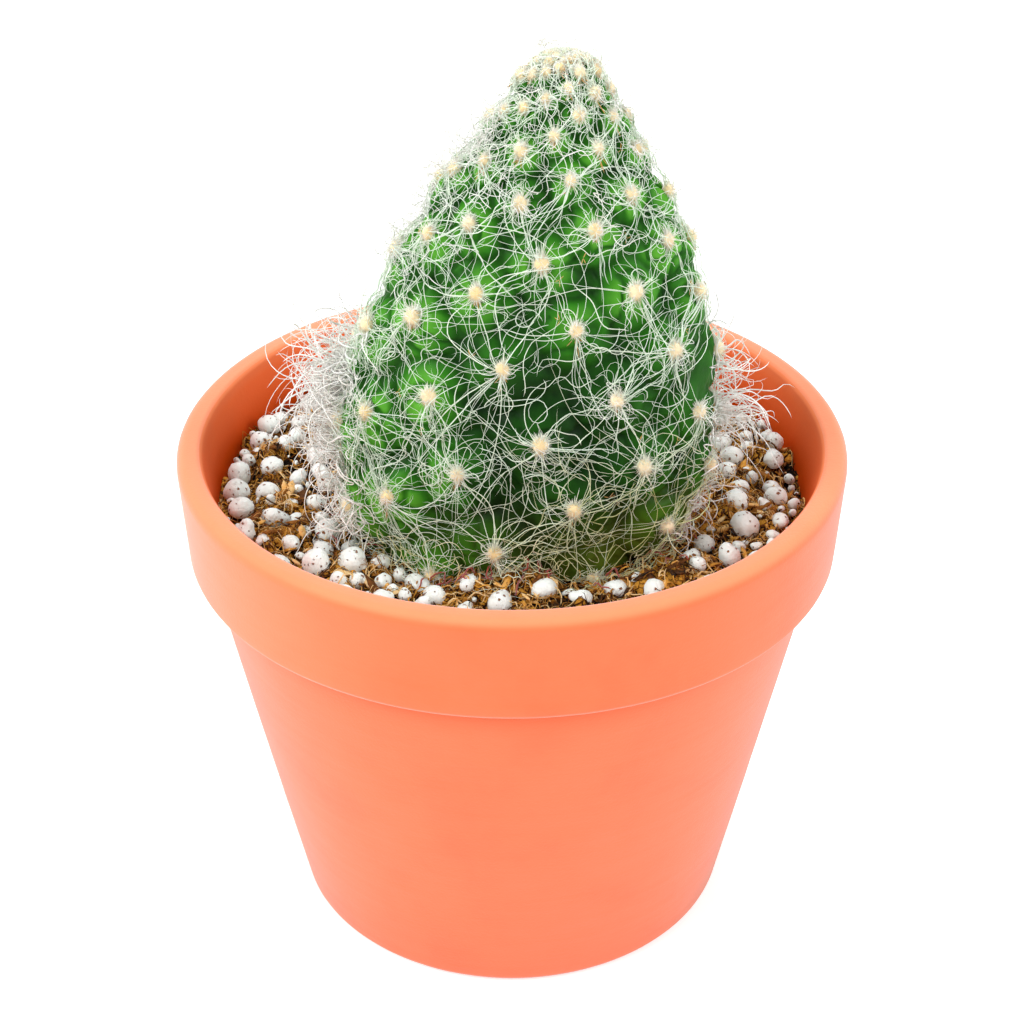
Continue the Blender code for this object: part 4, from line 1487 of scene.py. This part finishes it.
def add_floor():
    """One square face just under the pot."""
    signs = ((-1, -1), (1, -1), (1, 1), (-1, 1))
    corners = [(FLOOR_REACH * x, FLOOR_REACH * y, -FLOOR_DROP) for x, y in signs]
    mesh = bpy.data.meshes.new("floor")
    mesh.from_pydata(corners, [], [(0, 1, 2, 3)])
    mesh.materials.append(floor_material())
    floor = bpy.data.objects.new("floor", mesh)
    bpy.context.scene.collection.objects.link(floor)


def add_softbox(name, place, power):
    """A square area lamp at place, turned to face the lamps' target."""
    light = bpy.data.lights.new(name, "AREA")
    light.size = LAMP_SIZE
    light.energy = power
    lamp = bpy.data.objects.new(name, light)
    way = np.array(LAMP_TARGET) - np.array(place)
    lamp.location = place
    flat = math.hypot(way[0], way[1])
    lamp.rotation_euler = (math.atan2(flat, -way[2]), 0, math.atan2(way[1], way[0]) - math.pi / 2)
    bpy.context.scene.collection.objects.link(lamp)


def add_world():
    """White surroundings: plain white to the camera, a dimmer fill to everything else."""
    world = bpy.data.worlds.new("white_room")
    world.use_nodes = True
    tree = world.node_tree
    tree.nodes.clear()
    rays = add(tree, "LightPath", out="Is Camera Ray")
    level = add(tree, "MapRange", {"Value": rays, "To Min": WORLD_STRENGTH, "To Max": 1.0})
    sky = add(tree, "Background", {"Color": (1, 1, 1, 1), "Strength": level})
    add(tree, "OutputWorld", {"Surface": sky})
    bpy.context.scene.world = world


class CACTUS_OT_stage(bpy.types.Operator):
    """Make the floor, the lamps and the camera"""

    bl_idname = "cactus.stage"
    bl_label = "Stage"

    def execute(self, context):
        scene = context.scene
        stage = scene.cactus_stage
        add_floor()
        add_world()
        for lamp in LAMPS:
            add_softbox(*lamp)
        data = bpy.data.cameras.new("camera")
        data.lens = stage.lens
        data.sensor_width = SENSOR
        data.clip_start = 0.01
        camera = bpy.data.objects.new("camera", data)
        back = stage.distance * math.cos(stage.elevation)
        camera.location = (0.0, -back, stage.target + stage.distance * math.sin(stage.elevation))
        camera.rotation_euler = (math.pi / 2 - stage.elevation, 0, 0)
        scene.collection.objects.link(camera)
        scene.camera = camera
        scene.view_settings.view_transform = "Standard"
        return {"FINISHED"}


# --- add-on ----------------------------------------------------------------------------------
GROUPS = {
    "cactus_pot": CactusPot,
    "cactus_mix": CactusMix,
    "cactus_plant": CactusPlant,
    "cactus_stage": CactusStage,
}
OPERATORS = (
    CACTUS_OT_pot,
    CACTUS_OT_mix,
    CACTUS_OT_perlite,
    CACTUS_OT_pad,
    CACTUS_OT_areoles,
    CACTUS_OT_hair,
    CACTUS_OT_wool,
    CACTUS_OT_stage,
)


class CACTUS_PT_panel(bpy.types.Panel):
    """Lists the pieces and the sizes that they read"""

    bl_label = "Potted prickly pear"
    bl_idname = "CACTUS_PT_panel"
    bl_space_type = "VIEW_3D"
    bl_region_type = "UI"
    bl_category = "Cactus"

    def draw(self, context):
        for operator in OPERATORS:
            self.layout.operator(operator.bl_idname)
        for name in GROUPS:
            group = getattr(context.scene, name)
            box = self.layout.box()
            for key in group.__annotations__:
                box.prop(group, key)


def register():
    """Adds the classes, and the groups of sizes and colours to every scene."""
    for made in (*GROUPS.values(), *OPERATORS, CACTUS_PT_panel):
        bpy.utils.register_class(made)
    for key, group in GROUPS.items():
        setattr(bpy.types.Scene, key, PointerProperty(type=group))


def unregister():
    """Takes them all away again."""
    for key in GROUPS:
        delattr(bpy.types.Scene, key)
    for made in (CACTUS_PT_panel, *OPERATORS, *GROUPS.values()):
        bpy.utils.unregister_class(made)


def main():
    register()
    for operator in OPERATORS:
        getattr(bpy.ops.cactus, operator.bl_idname.split(".")[1])()


if __name__ == "__main__":
    main()
